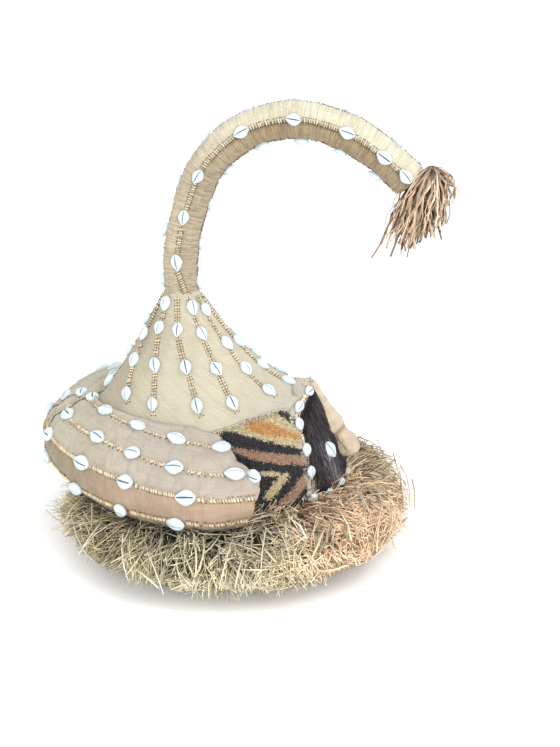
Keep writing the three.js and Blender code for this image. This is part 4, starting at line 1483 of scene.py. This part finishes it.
chin = laid_cloth("chin_sheet", 120, 14, chin_place, chin_dyes)
chin_skin = skin_tree(chin)
stretched_sheet(chin)
backed(chin, FACE_WALL, raffia_cloth("chin_cloth", stain=0.5, slub=2.0), "chin_cloth", "chin_cloth")

# %% [markdown]
# ## The fur
#
# The pelt is a black and grey monkey's, its hairs 3 to 6 cm long and combed downwards. Each hair starts at
# a chance place inside the pelt's outline, leans out a little, and stops short of the chin. A few hairs are
# grey all over the pelt, and two pale streaks run down beside the nose: painted sheen, where the glossy hair
# catches the light. The hairs are dropped onto the hood station by station, so none dives into it.

# %% Grow the fur
FUR_DYES = [dye(36, 29, 33), dye(50, 40, 43), dye(25, 21, 26), dye(68, 56, 60)]
FUR_GREY_AND_SHEEN, SHEEN_X, SHEEN_WIDTH, SHEEN_TOP = dye(214, 208, 218), 33 * MM, 6 * MM, 158 * MM
HAIRS_TRIED, HAIR_LENGTHS, SHORTEST_HAIR = 8200, (26, 58), 5 * MM
PELT_HALF_WIDTH = 54 * MM
ROOT_NOTCH = MM * np.array([[0, 98], [12, 92], [26, 84], [42, 81]])
TIP_NOTCH = MM * np.array([[0, 94], [12, 86], [30, 71], [54, 71]])


def above_notch(x, notch):
    return np.interp(np.abs(x), notch[:, 0], notch[:, 1])


def inside_pelt(front):
    edge = along_outline(PELT_SIDE, np.linspace(0, 1, 200))
    order = np.argsort(edge[:, 1])
    half_width = np.interp(front[:, 1], edge[order, 1], -edge[order, 0])
    return (np.abs(front[:, 0]) < half_width - MM) & (front[:, 1] > above_notch(front[:, 0], ROOT_NOTCH))


roots = chance.uniform([-PELT_HALF_WIDTH, 84 * MM], [PELT_HALF_WIDTH, 183 * MM], (HAIRS_TRIED, 2))
roots = roots[inside_pelt(roots)]
hairs = len(roots)
lengths = chance.uniform(*HAIR_LENGTHS, hairs) * MM
room = np.maximum(roots[:, 1] - above_notch(roots[:, 0], TIP_NOTCH), SHORTEST_HAIR)
lengths = np.minimum(lengths, room)
lean = roots[:, 0] / PELT_HALF_WIDTH * 0.16 + chance.normal(0, 0.07, hairs)
stations = []
for share in (0, 0.33, 0.67, 1):
    x = roots[:, 0] + lean * lengths * share + chance.normal(0, 0.5 * MM, hairs)
    z = roots[:, 1] - lengths * share
    lift = 3.0 * MM + (chance.uniform(1.0, 5.0, hairs) * MM) * math.sin(share * 2.4)
    stations.append(dropped(np.stack([x, z], -1), lift))
fur_lines = np.stack(stations, axis=1) + SHIFT
print(hairs, "hairs on the pelt")

# %% Dye the fur
fur_dyes = any_of(FUR_DYES, hairs)
# Painted sheen: in the two streaks beside the nose many hairs turn pale, where the glossy hair catches the
# light; elsewhere only a few hairs are grey.
off_sheen = (np.abs(roots[:, 0]) - SHEEN_X) / SHEEN_WIDTH
streak = np.exp(-(off_sheen**2)) * smooth((SHEEN_TOP - roots[:, 1]) / (16 * MM))
grey_and_sheen = (0.04 + 0.96 * streak) * chance.random(hairs) ** 2.4
fur_dyes = lerp(fur_dyes, FUR_GREY_AND_SHEEN[None], grey_and_sheen[:, None])
monkey_fur = fibre("monkey_fur", roughness=0.3, streaks=300.0, sheen=0.0)
fur = strands(fur_lines, chance.uniform(0.6, 1.05, hairs) * MM, fur_dyes, root_shade=0.6)
fibre_piece("face_fur", monkey_fur, "fur", "face_pelt", fur)

# %% [markdown]
# ## The nose
#
# The nose is a roll of cloth, stuffed and tied in below its middle, so that it ends in a bulb. It is laid
# round its own line as the trunk is, with its ends drawn to a point. Its line carries the radius as a third
# number, because the roll is thin at the brow, thick above the tie and round at the bulb.

# %% Roll the nose
NOSE_LINE = MM * np.array([
    [-93, 186, 4.5], [-100, 168, 7.5], [-107, 152, 11.3], [-112, 141, 14.8], [-116, 134, 15.2],
    [-120.5, 128.5, 12.4], [-124.5, 124, 12.2], [-130, 116, 14.6], [-133, 108, 14.6], [-134, 101, 10.5],
])
NOSE_STEPS, NOSE_TIE = 120, 0.66
NOSE_STATIONS = np.arange(NOSE_STEPS + 1)
NOSE_CREAM, NOSE_SHADE = dye(189, 174, 152), dye(150, 129, 103)
nose_curve = curve_through(NOSE_LINE, NOSE_STEPS + 1)
nose_heading = unit(np.gradient(nose_curve[:, :2], axis=0))


def nose_place(u, v):
    y, z, radius = read_at(v * NOSE_STEPS, NOSE_STATIONS, nose_curve).T
    ahead_y, ahead_z = read_at(v * NOSE_STEPS, NOSE_STATIONS, nose_heading).T
    angle = u * 2 * math.pi
    closing = np.sqrt(np.clip(1 - ((v - 0.93) / 0.07).clip(0, 1) ** 2, 0, 1)) * np.clip(v / 0.01, 0, 1)
    creases = 1 + 0.035 * np.sin(v * 46 + 3 * np.sin(u * 6.3)) + 0.02 * np.sin(angle * 5 + v * 9)
    gathers = 0.05 * np.exp(-(((v - 0.67) / 0.08) ** 2)) * np.sin(angle * 13)
    reach = radius * closing * (creases + gathers)
    over = reach * np.sin(angle)
    return np.stack([reach * np.cos(angle), y + over * ahead_z, z - over * ahead_y], -1)


def nose_dyes(u, v):
    # Painted shade darkens the roll at the tie, where it is pinched in; soft darker bands also run along it.
    crease_shadow = np.exp(-(((v - NOSE_TIE) / 0.03) ** 2)) * 0.7
    return blend_dyes(NOSE_CREAM, NOSE_SHADE, smooth(crease_shadow + 0.3 * np.sin(v * 21) ** 2))


def nose_tie(u, v):
    return np.abs(v - NOSE_TIE) < 0.02


nose = laid_cloth("nose_roll", 40, 80, nose_place, nose_dyes, joined=True, sewn=nose_tie)
filled(nose, 2 * MM)
set_points(nose, kept_off_the_lining(points_of(nose)))
nose.data.materials.append(raffia_cloth("nose_cloth", stain=0.45, slub=1.6))
hand_over(nose, "nose_cloth", "nose")

# %% [markdown]
# ## Threads of the nose
#
# The cloth of the nose is frayed where it is tied, and loose threads hang down behind the bulb. They start
# on the nose's own surface at the tie, so they are written from the same function, a little further out.

# %% Tie the loose threads behind the bulb of the nose
NOSE_THREADS, THREAD_SIDE, THREAD_ENDS = 110, (0.46, 1.04), (0.86, 0.97)
NOSE_THREAD_DYES = [NOSE_CREAM, NOSE_SHADE, dye(214, 204, 182)]

thread_u = chance.uniform(*THREAD_SIDE, NOSE_THREADS)
stations = []
for share in (0, 0.35, 0.7, 1):
    u = (thread_u + chance.normal(0, 0.02, NOSE_THREADS)) % 1
    surface = nose_place(u, lerp(0.64, chance.uniform(*THREAD_ENDS, NOSE_THREADS), share))
    heart = nose_place(u, np.full(NOSE_THREADS, 0.8)).mean(axis=0)
    proud = 1.03 + chance.uniform(0.0, 0.16, (NOSE_THREADS, 1)) * share
    stations.append(heart + (surface - heart) * proud - np.array([0, 0, 1.5 * MM]) * share)
thread_dyes = any_of(NOSE_THREAD_DYES, NOSE_THREADS)
thread_widths = chance.uniform(0.5, 0.9, NOSE_THREADS) * MM
thread_lines = [kept_off_the_lining(line + SHIFT) for line in np.stack(stations, axis=1)]
threads = strands(np.array(thread_lines), thread_widths, thread_dyes, root_shade=0.7)
fibre_piece("nose_threads", mend_fibre, "nose_cloth", "nose", threads)

# %% [markdown]
# ## Cut-pile cheeks
#
# Between the face and each ear lies a panel of Kuba cut-pile cloth: short tufts of dyed raffia, in bands
# and zigzags of black, gold, orange and brown. The pattern is written as a function of the way round the
# head and of the height, and each tuft asks it for its own dye at a place that is a little off, so edges
# are soft. The bands are worked out from their edges, each a few bends in degrees and millimetres.

# %% Write the pattern of the pile cloth
PILE_GOLD, PILE_ORANGE = dye(213, 197, 155), dye(208, 152, 88)
PILE_BLACK, PILE_BROWN = dye(29, 28, 34), dye(178, 144, 116)


def edge_at(turn, *stops):
    degrees, heights = zip(*stops)
    return np.interp(turn, degrees, heights)


STRIPE_DEGREE = 1.6


def near_stripe(turn, height, start, end, half_width):
    a, b = np.array([start, end]) * np.array([STRIPE_DEGREE, 1])
    place = np.stack([turn * STRIPE_DEGREE, height], -1)
    share = np.clip(((place - a) @ (b - a)) / ((b - a) @ (b - a)), 0, 1)
    return np.linalg.norm(place - (a + share[:, None] * (b - a)), axis=1) < half_width


def pile_dyes(turn, height):
    black_top = edge_at(turn, (98, 152), (105, 154), (110, 155), (122, 144), (131, 136), (142, 128))
    black_low = edge_at(turn, (104, 148), (109, 137), (122, 130), (139, 121))
    brown_low = edge_at(turn, (107, 134), (115, 123), (124, 117), (140, 109))
    second_low = edge_at(turn, (109, 118), (118, 111), (128, 105), (138, 98))
    orange_top = edge_at(turn, (117, 160), (120, 165), (125, 165), (131, 160), (142, 143))
    orange_low = edge_at(turn, (118, 155), (123, 150), (133, 144), (142, 138))
    wedge_side = edge_at(turn, (136, 136), (142, 136))
    wedge_low = edge_at(turn, (136, 169), (142, 156), (145, 151))
    colours = repeated(PILE_GOLD, len(turn))
    colours[(height < orange_top) & (height > orange_low) & (turn > 117.5)] = PILE_ORANGE
    colours[(turn > wedge_side) & (height > wedge_low) & (turn < 145)] = PILE_BLACK
    colours[height < black_top] = PILE_BLACK
    colours[(height < black_low) & (height > brown_low)] = PILE_BROWN
    colours[(turn < 104) & (height > 140)] = PILE_BROWN
    colours[near_stripe(turn, height, (116, 108), (127, 103), 2.6) & (height < second_low)] = PILE_GOLD
    colours[near_stripe(turn, height, (126, 102), (115, 81), 3.6)] = PILE_GOLD
    colours[near_stripe(turn, height, (139, 98), (123, 72), 4.6)] = PILE_BROWN
    return colours


# %% Place a spot on the cheek
CHEEK_TOP = [(97, 146), (104, 154), (110, 158), (118, 165), (126, 168), (131, 170), (137, 172), (143, 170)]
CHEEK_FRONT = [(58, 134), (70, 134.5), (90, 136.5), (109, 140), (135, 143.5), (152, 145), (170, 142)]
CHEEK_BACK, CHEEK_FOREMOST, CHEEK_LOW = 97, 142, 58


def cheek_spot(u, v):
    height = lerp(CHEEK_LOW, edge_at(lerp(CHEEK_BACK, CHEEK_FOREMOST, u), *CHEEK_TOP), v)
    return lerp(CHEEK_BACK, edge_at(height, *CHEEK_FRONT), u), height


def on_cheek(side, turn, height, lift):
    radians, step = np.radians(turn), 0.02
    here = on_drum(radians, height * MM)
    round_it = on_drum(radians + step, height * MM) - on_drum(radians - step, height * MM)
    up_it = on_drum(radians, height * MM + MM) - on_drum(radians, height * MM - MM)
    outwards = unit(np.cross(round_it, up_it))
    outwards = outwards * np.sign((outwards * here * np.array([1, 1, 0])).sum(axis=1))[:, None]
    mirror = np.array([side, 1, 1])
    return (here + outwards * np.asarray(lift)[..., None]) * mirror, outwards * mirror


# %% Lay the cheek cloths and set their tufts
TUFTS, TUFT_ENDS, TUFT_LENGTHS = 2600, 4, (2.2, 3.6)
GROUND_LIFT, GROUND_SWELL, PILE_ROOT = 0.5 * MM, 1.9 * MM, 1.6 * MM


def cheek_ground(name, side):
    def place(u, v):
        edge = np.clip(np.minimum(v * 20, (1 - v) * 20), 0, 1) * np.clip((1 - u) * 20, 0, 1)
        return on_cheek(side, *cheek_spot(u, v), GROUND_LIFT + GROUND_SWELL * edge)[0]

    def dyes(u, v):
        # The ground takes the pile's pattern at 0.6 of its brightness: painted shade under the tufts.
        return 0.6 * pile_dyes(*cheek_spot(u, v))

    base = laid_cloth(name + "_ground", 60, 50, place, dyes)
    stretched_sheet(base)
    backed(base, FACE_WALL, raffia_cloth(name + "_ground", stain=0.2), "pile_cloth", name)


def cheek_pile(name, side):
    spots = chance.random((TUFTS, 2))
    turn, height = cheek_spot(spots[:, 0], spots[:, 1])
    jitter = chance.normal(0, 1, (TUFTS, 2))
    colours = varied(pile_dyes(turn + jitter[:, 0] * 0.6, height + jitter[:, 1] * 0.9), 0.8, 1.1)
    tuft_lean = chance.normal(0, 0.3, (TUFTS, 3))
    colours = varied(np.repeat(colours, TUFT_ENDS, axis=0), 0.85, 1.1)
    turn = np.repeat(turn, TUFT_ENDS) + chance.normal(0, 0.35, len(colours))
    height = np.repeat(height, TUFT_ENDS) + chance.normal(0, 0.45, len(colours))
    roots, ups = on_cheek(side, turn, height, PILE_ROOT)
    lean = np.repeat(tuft_lean, TUFT_ENDS, axis=0) + chance.normal(0, 0.3, ups.shape)
    tips = roots + unit(ups + lean) * chance.uniform(*TUFT_LENGTHS, (len(turn), 1)) * MM
    lines = np.stack([roots, lerp(roots, tips, 0.6), tips], axis=1) + SHIFT
    pile = strands(lines, chance.uniform(1.2, 1.8, len(turn)) * MM, colours, flatness=1.0, root_shade=0.55)
    pile_fibre = fibre(name + "_pile", roughness=0.9, streaks=900.0, sheen=0.3)
    fibre_piece(name + "_pile", pile_fibre, "pile_cloth", name, pile)


CHEEKS = {"right": 1, "left": -1}

for side, sign in CHEEKS.items():
    cheek_ground(f"{side}_cheek_cloth", sign)
    cheek_pile(f"{side}_cheek_cloth", sign)

# %% [markdown]
# ## The hem of the cap
#
# The cap's cloth ends over the cheeks in a rolled hem, with short threads frayed out of it. A rope of cloth
# along the edge hides where the pile begins, and chance threads fall from it at all angles.

# %% Sew the frayed hem of the cap over the cheeks
HEM_TURNS, HEM_POINTS, HEM_THREADS = (96, 144), 40, 170
HEM_LIFT, HEM_WIDTH, HEM_CREAM = 3.4 * MM, 2.6 * MM, dye(206, 196, 172)
DOWNWARDS = np.array([0, 0, -0.9])
hem_fibre = fibre("hem_thread", roughness=0.8)


def cap_hem(name, side):
    degrees = np.linspace(*HEM_TURNS, HEM_POINTS)
    heights = edge_at(degrees, *CHEEK_TOP) + 1.5 + 0.5 * np.sin(degrees * 1.7)
    line, _ = on_cheek(side, degrees, heights, HEM_LIFT)
    hem = strands((line + SHIFT)[None], np.array([HEM_WIDTH]), CREAM[None], flatness=0.8)
    where = chance.uniform(*HEM_TURNS, HEM_THREADS)
    root_heights = edge_at(where, *CHEEK_TOP) + chance.uniform(0.5, 3, HEM_THREADS)
    roots, ups = on_cheek(side, where, root_heights, HEM_LIFT)
    fall = ups * 0.35 + DOWNWARDS + chance.normal(0, 0.45, (HEM_THREADS, 3))
    tips = roots + unit(fall) * chance.uniform(2, 6, (HEM_THREADS, 1)) * MM
    lines = np.stack([roots, lerp(roots, tips, 0.5) + ups * 0.5 * MM, tips], axis=1) + SHIFT
    tones = varied(repeated(HEM_CREAM, HEM_THREADS), 0.6, 1.1)
    frayed = strands(lines, chance.uniform(0.6, 1.1, HEM_THREADS) * MM, tones)
    fibre_piece(name, hem_fibre, "cap_cloth", "hood", hem, frayed)


for side, sign in CHEEKS.items():
    cap_hem(f"{side}_cap_hem", sign)

# %% [markdown]
# ## Shells of the face
#
# The eyes are one cowrie each. A row of cowries and beads runs down both sides of the border, and a short
# row of small ones crosses the chin. The eyes are turned outwards a little, as the fur bulges under them.

# %% String the rows of the face
BORDER_LINE = MM * np.array([[8, 184], [30, 179], [47, 166], [49.5, 147], [54, 122], [57, 102], [57.5, 88]])
BORDER_SHELLS, BORDER_SHELL = [0.16, 0.35, 0.5, 0.72, 0.9], 0.9 * SMALL_SHELL
CHIN_LINE = MM * np.array([[68, 73], [48, 75], [31, 78], [15, 82]])
EYE_PLACE, EYE_SHELL, CHIN_SHELL = MM * np.array([[29, 109], [29, 126]]), 21.5 * MM, 13 * MM
FACE_NORMAL, FACE_SPREAD, ROW_POINTS = np.array([0, -1, 0.2]), 6, 60


def face_normals(x):
    sideways = np.stack([x * FACE_SPREAD, 0 * x, 0 * x], -1)
    return unit(repeated(FACE_NORMAL, len(x)) + sideways)


for side, sign in (("right", -1), ("left", 1)):
    mirror = np.array([sign, 1])
    eye = dropped(EYE_PLACE * mirror, 4 * MM)
    eye_line, eye_normals = np.linspace(eye[0], eye[1], 12), repeated(FACE_NORMAL, 12)
    outward = (sign * 0.5, 0, 0.2)
    bead_row(f"{side}_eye_shell", pelt_skin, eye_line, eye_normals, [0.5], EYE_SHELL, ROPE, facing=outward)
    front = curve_through(BORDER_LINE, ROW_POINTS) * mirror
    normals, line, node = face_normals(front[:, 0]), dropped(front, 4 * MM), f"{side}_border_row"
    bead_row(node, border_skin, line, normals, BORDER_SHELLS, BORDER_SHELL, ROPE, heads=-1)

chin_front = np.concatenate([CHIN_LINE * np.array([-1, 1]), CHIN_LINE[::-1]])
chin_line = dropped(curve_through(chin_front, ROW_POINTS), 4 * MM)
chin_shells = np.linspace(0.08, 0.92, 8)
bead_row("chin_row", chin_skin, chin_line, face_normals(chin_line[:, 0]), chin_shells, CHIN_SHELL, ROPE)

# %% [markdown]
# ## The raffia ruff
#
# The ruff is a thick collar of loose split raffia, and the whole mask stands on it. Its outline is written
# first, as a section that is carried round the neck and rises a little at the front. A dark mat inside it
# closes the view through the strands, as the imported raffia does on the real mask. Its dark colour is
# painted shade, the shade deep inside the raffia.

# %% Write the ruff's outline
RUFF_OUTER, RUFF_FRONT_RISE, RUFF_RISE_TURN = 211 * MM, 14 * MM, math.radians(15)
RUFF_FULL_HEIGHT = 50
RUFF_PROFILE = np.array([
    [0.0, 50], [0.12, 54], [0.32, 63], [0.7, 57], [0.93, 46], [1.0, 35], [0.89, 17], [0.74, 4], [0.6, 1],
])


def on_ruff(turn, share):
    inner = on_drum(turn, NECK_Z)
    reach_share, level = read_at(share, np.linspace(0, 1, len(RUFF_PROFILE)), RUFF_PROFILE).T
    facing_front = np.maximum(0, -np.cos(turn - RUFF_RISE_TURN))
    rise = RUFF_FRONT_RISE * facing_front * smooth(level / RUFF_FULL_HEIGHT)
    reach = lerp(np.hypot(inner[:, 0], inner[:, 1]), RUFF_OUTER, reach_share)
    return np.stack([-np.sin(turn) * reach, np.cos(turn) * reach, level * MM + rise], -1)


def ruff_axes(turn, share, step=0.04):
    along = unit(on_ruff(turn, share + step) - on_ruff(turn, share - step))
    round_it = np.stack([-np.cos(turn), -np.sin(turn), 0 * turn], -1)
    return along, round_it, unit(np.cross(along, round_it))


print("the ruff reaches", RUFF_OUTER, "m from the middle")

# %% Lay the mat of painted shade inside the ruff
MAT_SHADOW, MAT_SHARE, MAT_DEPTH, MAT_FLOOR = dye(58, 47, 31), 0.9, 14 * MM, 1.5 * MM
REACH_LIMITS = MM * np.array([[0, 146], [10, 165], [22, 184], [36, 198], [60, 203]])
UPWARDS = np.array([0, 0, 1])


def reach_limit(z):
    return np.interp(z, REACH_LIMITS[:, 0], REACH_LIMITS[:, 1])


def mat_place(u, v):
    turn = u * 2 * math.pi
    share = np.clip(v * 1.25, 0, 1)
    _, _, outwards = ruff_axes(turn, share)
    outer = on_ruff(turn, share) - outwards * MAT_DEPTH
    outer[:, 2] = np.maximum(outer[:, 2], MAT_FLOOR)
    reach = np.hypot(outer[:, 0], outer[:, 1])
    outer[:, :2] *= np.minimum(1, MAT_SHARE * reach_limit(outer[:, 2]) / reach)[:, None]
    under = on_drum(turn, NECK_Z) + UPWARDS * (2 * MM - NECK_Z)
    closing = np.clip((v - 0.8) / 0.1, 0, 1)[:, None]
    rising = np.clip((v - 0.9) / 0.1, 0, 1)[:, None]
    inner_top = on_ruff(turn, np.zeros(len(turn))) - UPWARDS * 12 * MM
    return lerp(lerp(outer, under, closing), inner_top, rising)


mat = laid_cloth("ruff_shadow_mat", 128, 60, mat_place, plain(MAT_SHADOW), joined=True)
mat.data.materials.append(fibre("raffia_shadow_mat", roughness=0.9, streaks=500.0))
hand_over(mat, "ruff_raffia", "ruff")

# %% [markdown]
# ## Strands of the ruff
#
# The raffia is split leaf, cut blunt, and it ages unevenly: green straw at the side, tan near the face,
# olive behind. Past the face, on the side away from the lamps, it darkens to brown, which is painted shade.
# Its strands grow out of the mat and stick out and down past each other. They come in tufts that share a
# direction, over a dense body painted darker as shade deep in the ruff, with tangled blades across it and a
# few long strays. Under the ears and near the floor the strands are painted darker too, as shade. A strand
# that would reach past the ruff's outline is drawn inwards as a whole, so that none is bent by the limit.

# %% Dye the straw
OLIVE_STRAW, GREEN_STRAW, STRAW = dye(208, 192, 150), dye(250, 240, 200), dye(255, 240, 200)
TAN_STRAW, HALF_SHADED_STRAW, SHADED_STRAW = dye(255, 220, 180), dye(226, 200, 160), dye(174, 150, 112)
DARK_STRAW, PALE_STRAW = dye(120, 94, 62), dye(255, 252, 232)
# Painted shade: from 180 to 240 degrees, past the face on the side away from the lamps, the straw darkens to
# brown.
STRAW_ROUND = {
    0: OLIVE_STRAW, 55: OLIVE_STRAW, 90: GREEN_STRAW, 112: STRAW, 132: TAN_STRAW,
    160: TAN_STRAW, 180: HALF_SHADED_STRAW, 205: SHADED_STRAW, 240: OLIVE_STRAW, 360: OLIVE_STRAW,
}
DARK_SHARE, PALE_SHARE, BLEND = 0.17, 0.15, (0.3, 0.9)


def straw_dyes(turn, count):
    base = read_at(np.degrees(turn) % 360, list(STRAW_ROUND), list(STRAW_ROUND.values()))
    lot = chance.random(count)[:, None]
    for chosen, toward in ((lot < DARK_SHARE, DARK_STRAW), (lot > 1 - PALE_SHARE, PALE_STRAW)):
        base = np.where(chosen, lerp(base, toward[None], chance.uniform(*BLEND, (count, 1))), base)
    return varied(base, 0.82, 1.08)


print("the straw changes its dye at", list(STRAW_ROUND), "degrees")

# %% Keep the strands off the head
HEAD_TURNS, HEAD_HEIGHT, HEAD_ROOM = np.linspace(0, 2 * math.pi, 361), 60 * MM, 1.5 * MM
HEAD_RING = on_drum(HEAD_TURNS, HEAD_HEIGHT)
HEAD_ANGLES = np.arctan2(-HEAD_RING[:, 0], HEAD_RING[:, 1])
HEAD_REACHES = np.linalg.norm(HEAD_RING[:, :2], axis=1) + HEAD_ROOM


def kept_off_the_head(lines):
    angles = np.arctan2(-lines[:, :, 0], lines[:, :, 1])
    least = np.interp(angles, HEAD_ANGLES, HEAD_REACHES, period=2 * math.pi)
    reach = np.maximum(np.linalg.norm(lines[:, :, :2], axis=2), MM)
    lines[:, :, :2] *= np.maximum(1, least / reach)[:, :, None]
    return lines


print("the strands stay", HEAD_REACHES.min().round(3), "m or more from the neck's middle")

# %% Write a layer of the ruff
WHOLE_ROUND, STRANDS_IN_A_TUFT = (0, 360), 10
LEVEL_PULL, DROOP, BEND, MOST_SLACK = 0.65, 0.5, 0.06, 1.12
SHADE_HEIGHT, LOW_SHADE, EAR_SHADE = 26 * MM, 0.6, 0.78
UNDER_THE_EARS = ((0, 95, 120, 240, 265, 360), (1, 1, 0, 0, 1, 1))


def strand_lines(count, turn, share, tuft, layer):
    tufts, spread = count // STRANDS_IN_A_TUFT, layer["spread"]
    along, round_it, outwards = ruff_axes(turn, share)
    reach = chance.normal(0, 2.0, (tufts, 1))[tuft] + chance.uniform(*layer["proud"], (count, 1))
    tips = on_ruff(turn, share) + outwards * reach * MM
    swing = chance.normal(0, 0.8 * spread, (tufts, 2))[tuft] + chance.normal(0, 0.6 * spread, (count, 2))
    level = np.stack([-np.sin(turn), np.cos(turn), 0 * turn], -1)
    drooping = along * (DROOP + swing[:, :1]) + round_it * swing[:, 1:]
    heading = unit(level * LEVEL_PULL + outwards * layer["stand"] + drooping)
    length = chance.uniform(*layer["lengths"], (count, 1)) * MM
    roots = tips - heading * length
    bend = chance.normal(0, BEND, (count, 3)) * length
    stops = (0, 0.5, 1) if layer["light"] < 1 else (0, 0.35, 0.7, 1)
    lines = np.stack([lerp(roots, tips, t) + bend * 4 * t * (1 - t) for t in stops], axis=1)
    lines[:, :, 2] = np.maximum(lines[:, :, 2], chance.uniform(1.5, 3.5, (count, 1)) * MM)
    reach = np.linalg.norm(lines[:, :, :2], axis=2)
    slack = chance.normal(layer["loose"], 0.03, (tufts, 1))[tuft] + chance.normal(0, 0.03, (count, 1))
    limit = reach_limit(lines[:, :, 2]) * np.minimum(slack, MOST_SLACK)
    too_far = np.maximum(0, reach - limit).max(axis=1)
    return kept_off_the_head(lines - level[:, None] * too_far[:, None, None])


def ruff_layer(name, count, shares, turns=WHOLE_ROUND, light=1.0, loose=1.0, **layer):
    tufts = count // STRANDS_IN_A_TUFT
    tuft = chance.integers(0, tufts, count)
    turn = np.radians(chance.uniform(*turns, tufts))[tuft] + chance.normal(0, 0.035, count)
    share = (chance.uniform(*shares, tufts)[tuft] + chance.normal(0, 0.03, count)).clip(0, 1)
    lines = strand_lines(count, turn, share, tuft, {"light": light, "loose": loose, **layer})
    # A light below 1 paints the dense body darker, as shade deep in the ruff.
    dyes = straw_dyes(turn, count) * np.array([light, light, light, 1])
    # Painted shade: strands darken when their tips lie near the floor, and near the neck under the ears,
    # where the
    # ears shade them.
    low_shade = lerp(LOW_SHADE, 1, smooth(lines[:, -1, 2] / SHADE_HEIGHT))
    under_ear = np.interp(np.degrees(turn) % 360, *UNDER_THE_EARS)
    ear_shade = 1 - EAR_SHADE * under_ear * smooth((0.47 - share) / 0.3)
    dyes[:, :3] *= (low_shade * ear_shade)[:, None]
    widths = chance.uniform(*layer["widths"], count) * MM
    blades = strands(lines + SHIFT, widths, dyes, root_shade=0.42, blunt=True)
    fibre_piece(name, fibre(name, roughness=0.5, streaks=500.0), "ruff_raffia", "ruff", blades)


# %% Set the layers of the ruff
BODY = {"stand": 1.0, "widths": (1.4, 2.6), "light": 0.76}
ruff_layer("ruff_upper_body", 2800, (0.02, 0.62), spread=0.7, lengths=(24, 46), proud=(-12, -3), **BODY)
ruff_layer("ruff_lower_body", 2600, (0.5, 0.95), spread=0.6, lengths=(22, 42), proud=(-12, -4), **BODY)
ruff_layer(
    "ruff_cross_strands", 3300, (0.03, 0.9),
    stand=0.45, spread=0.65, lengths=(24, 54), proud=(-5, 7), widths=(1.3, 2.4),
)
ruff_layer(
    "ruff_tangled_strands", 2100, (0.03, 0.85),
    stand=0.35, spread=1.2, lengths=(26, 56), proud=(-4, 7), widths=(1.5, 2.9),
)
ruff_layer(
    "ruff_front_tangle", 1100, (0.28, 0.85), turns=(105, 178),
    stand=0.35, spread=1.5, lengths=(28, 56), proud=(0, 8), widths=(1.6, 3.1),
)
ruff_layer(
    "ruff_front_rise", 900, (0.0, 0.26), turns=(168, 232),
    stand=0.8, spread=0.7, lengths=(28, 58), proud=(2, 25), widths=(1.1, 2.0),
)
ruff_layer(
    "ruff_face_strays", 110, (0.0, 0.2), turns=(112, 168),
    stand=0.8, spread=0.8, lengths=(34, 66), proud=(4, 22), widths=(0.8, 1.5),
)
ruff_layer(
    "ruff_strays", 1600, (0.15, 0.9), loose=1.08,
    stand=0.8, spread=0.45, lengths=(34, 64), proud=(4, 18), widths=(0.6, 1.3),
)

# %% [markdown]
# ## The tassel
#
# A bunch of stiff raffia is tied into the trunk's end. Its blades are broader than those of the ruff, start
# together in a small knot, and fan out as they hang. They bulge near the knot and wander on the way down,
# and a few thin ones stand out from the rest.

# %% Hang the tassel
TASSEL_DYES = [
    dye(216, 184, 150), dye(236, 206, 174), dye(186, 152, 120), dye(250, 228, 200), dye(138, 106, 80),
]
TASSEL_KNOT, TASSEL_FOOT = MM * np.array([0, -216, 430]), MM * np.array([0, -205, 358])
TASSEL_BLADES, BLADE_STATIONS, BLADE_WIDTHS = 360, 7, (2.2, 4.8)
KNOT_HALF, FOOT_HALF = (4, 5), (24, 28)
WILD_SHARE, WILD_REACH, WILD_WIDTH = 0.04, 1.3, 0.35
BULGE, WANDER, CROSSING = 0.42, 2.5, 0.6


def ringed(halves, reach, angle, drop=0):
    x, y = halves[0] * reach * np.cos(angle), halves[1] * reach * np.sin(angle)
    return MM * np.stack([x, y, drop * reach], -1)


def tassel_lines(count):
    around = chance.uniform(0, 2 * math.pi, count)
    reach = np.sqrt(chance.random(count))
    start = TASSEL_KNOT + ringed(KNOT_HALF, reach, around, drop=-3)
    wild = chance.random(count) < WILD_SHARE
    reach[wild] = WILD_REACH
    spread = ringed(FOOT_HALF, reach, around)
    end = TASSEL_FOOT + ringed(FOOT_HALF, reach, around + chance.normal(0, CROSSING, count))
    end = end + chance.normal(0, 4, (count, 3)) * MM
    end[:, 2] += (chance.normal(4, 7, count) + 8 * reach**2) * MM + 0.5 * (TASSEL_FOOT[1] - end[:, 1])
    stops = np.linspace(0, 1, BLADE_STATIONS)
    bulge = BULGE * np.sin(np.pi * stops) * (1 - stops) ** 0.5
    wander = np.cumsum(chance.normal(0, WANDER, (count, BLADE_STATIONS, 3)), axis=1) * MM
    wander -= wander[:, :1]
    lines = start[:, None] + (end - start)[:, None] * stops[None, :, None]
    lines = lines + spread[:, None] * bulge[None, :, None]
    return lines + wander + SHIFT, reach, wild


lines, reach, wild = tassel_lines(TASSEL_BLADES)
colours = varied(any_of(TASSEL_DYES, TASSEL_BLADES), 0.42, 1.12)
# Painted shade: blades in the core of the bunch darken towards its middle.
colours[:, :3] *= lerp(0.1, 1, smooth(reach * 1.2))[:, None]
widths = chance.uniform(*BLADE_WIDTHS, TASSEL_BLADES) * np.where(wild, WILD_WIDTH, 1) * MM
blades = strands(lines, widths, colours, flatness=0.25, root_shade=0.6, blunt=True)
tassel_raffia = fibre("tassel_raffia", roughness=0.6, streaks=500.0)
fibre_piece("tassel_blades", tassel_raffia, "tassel_raffia", "trunk_tassel", blades)
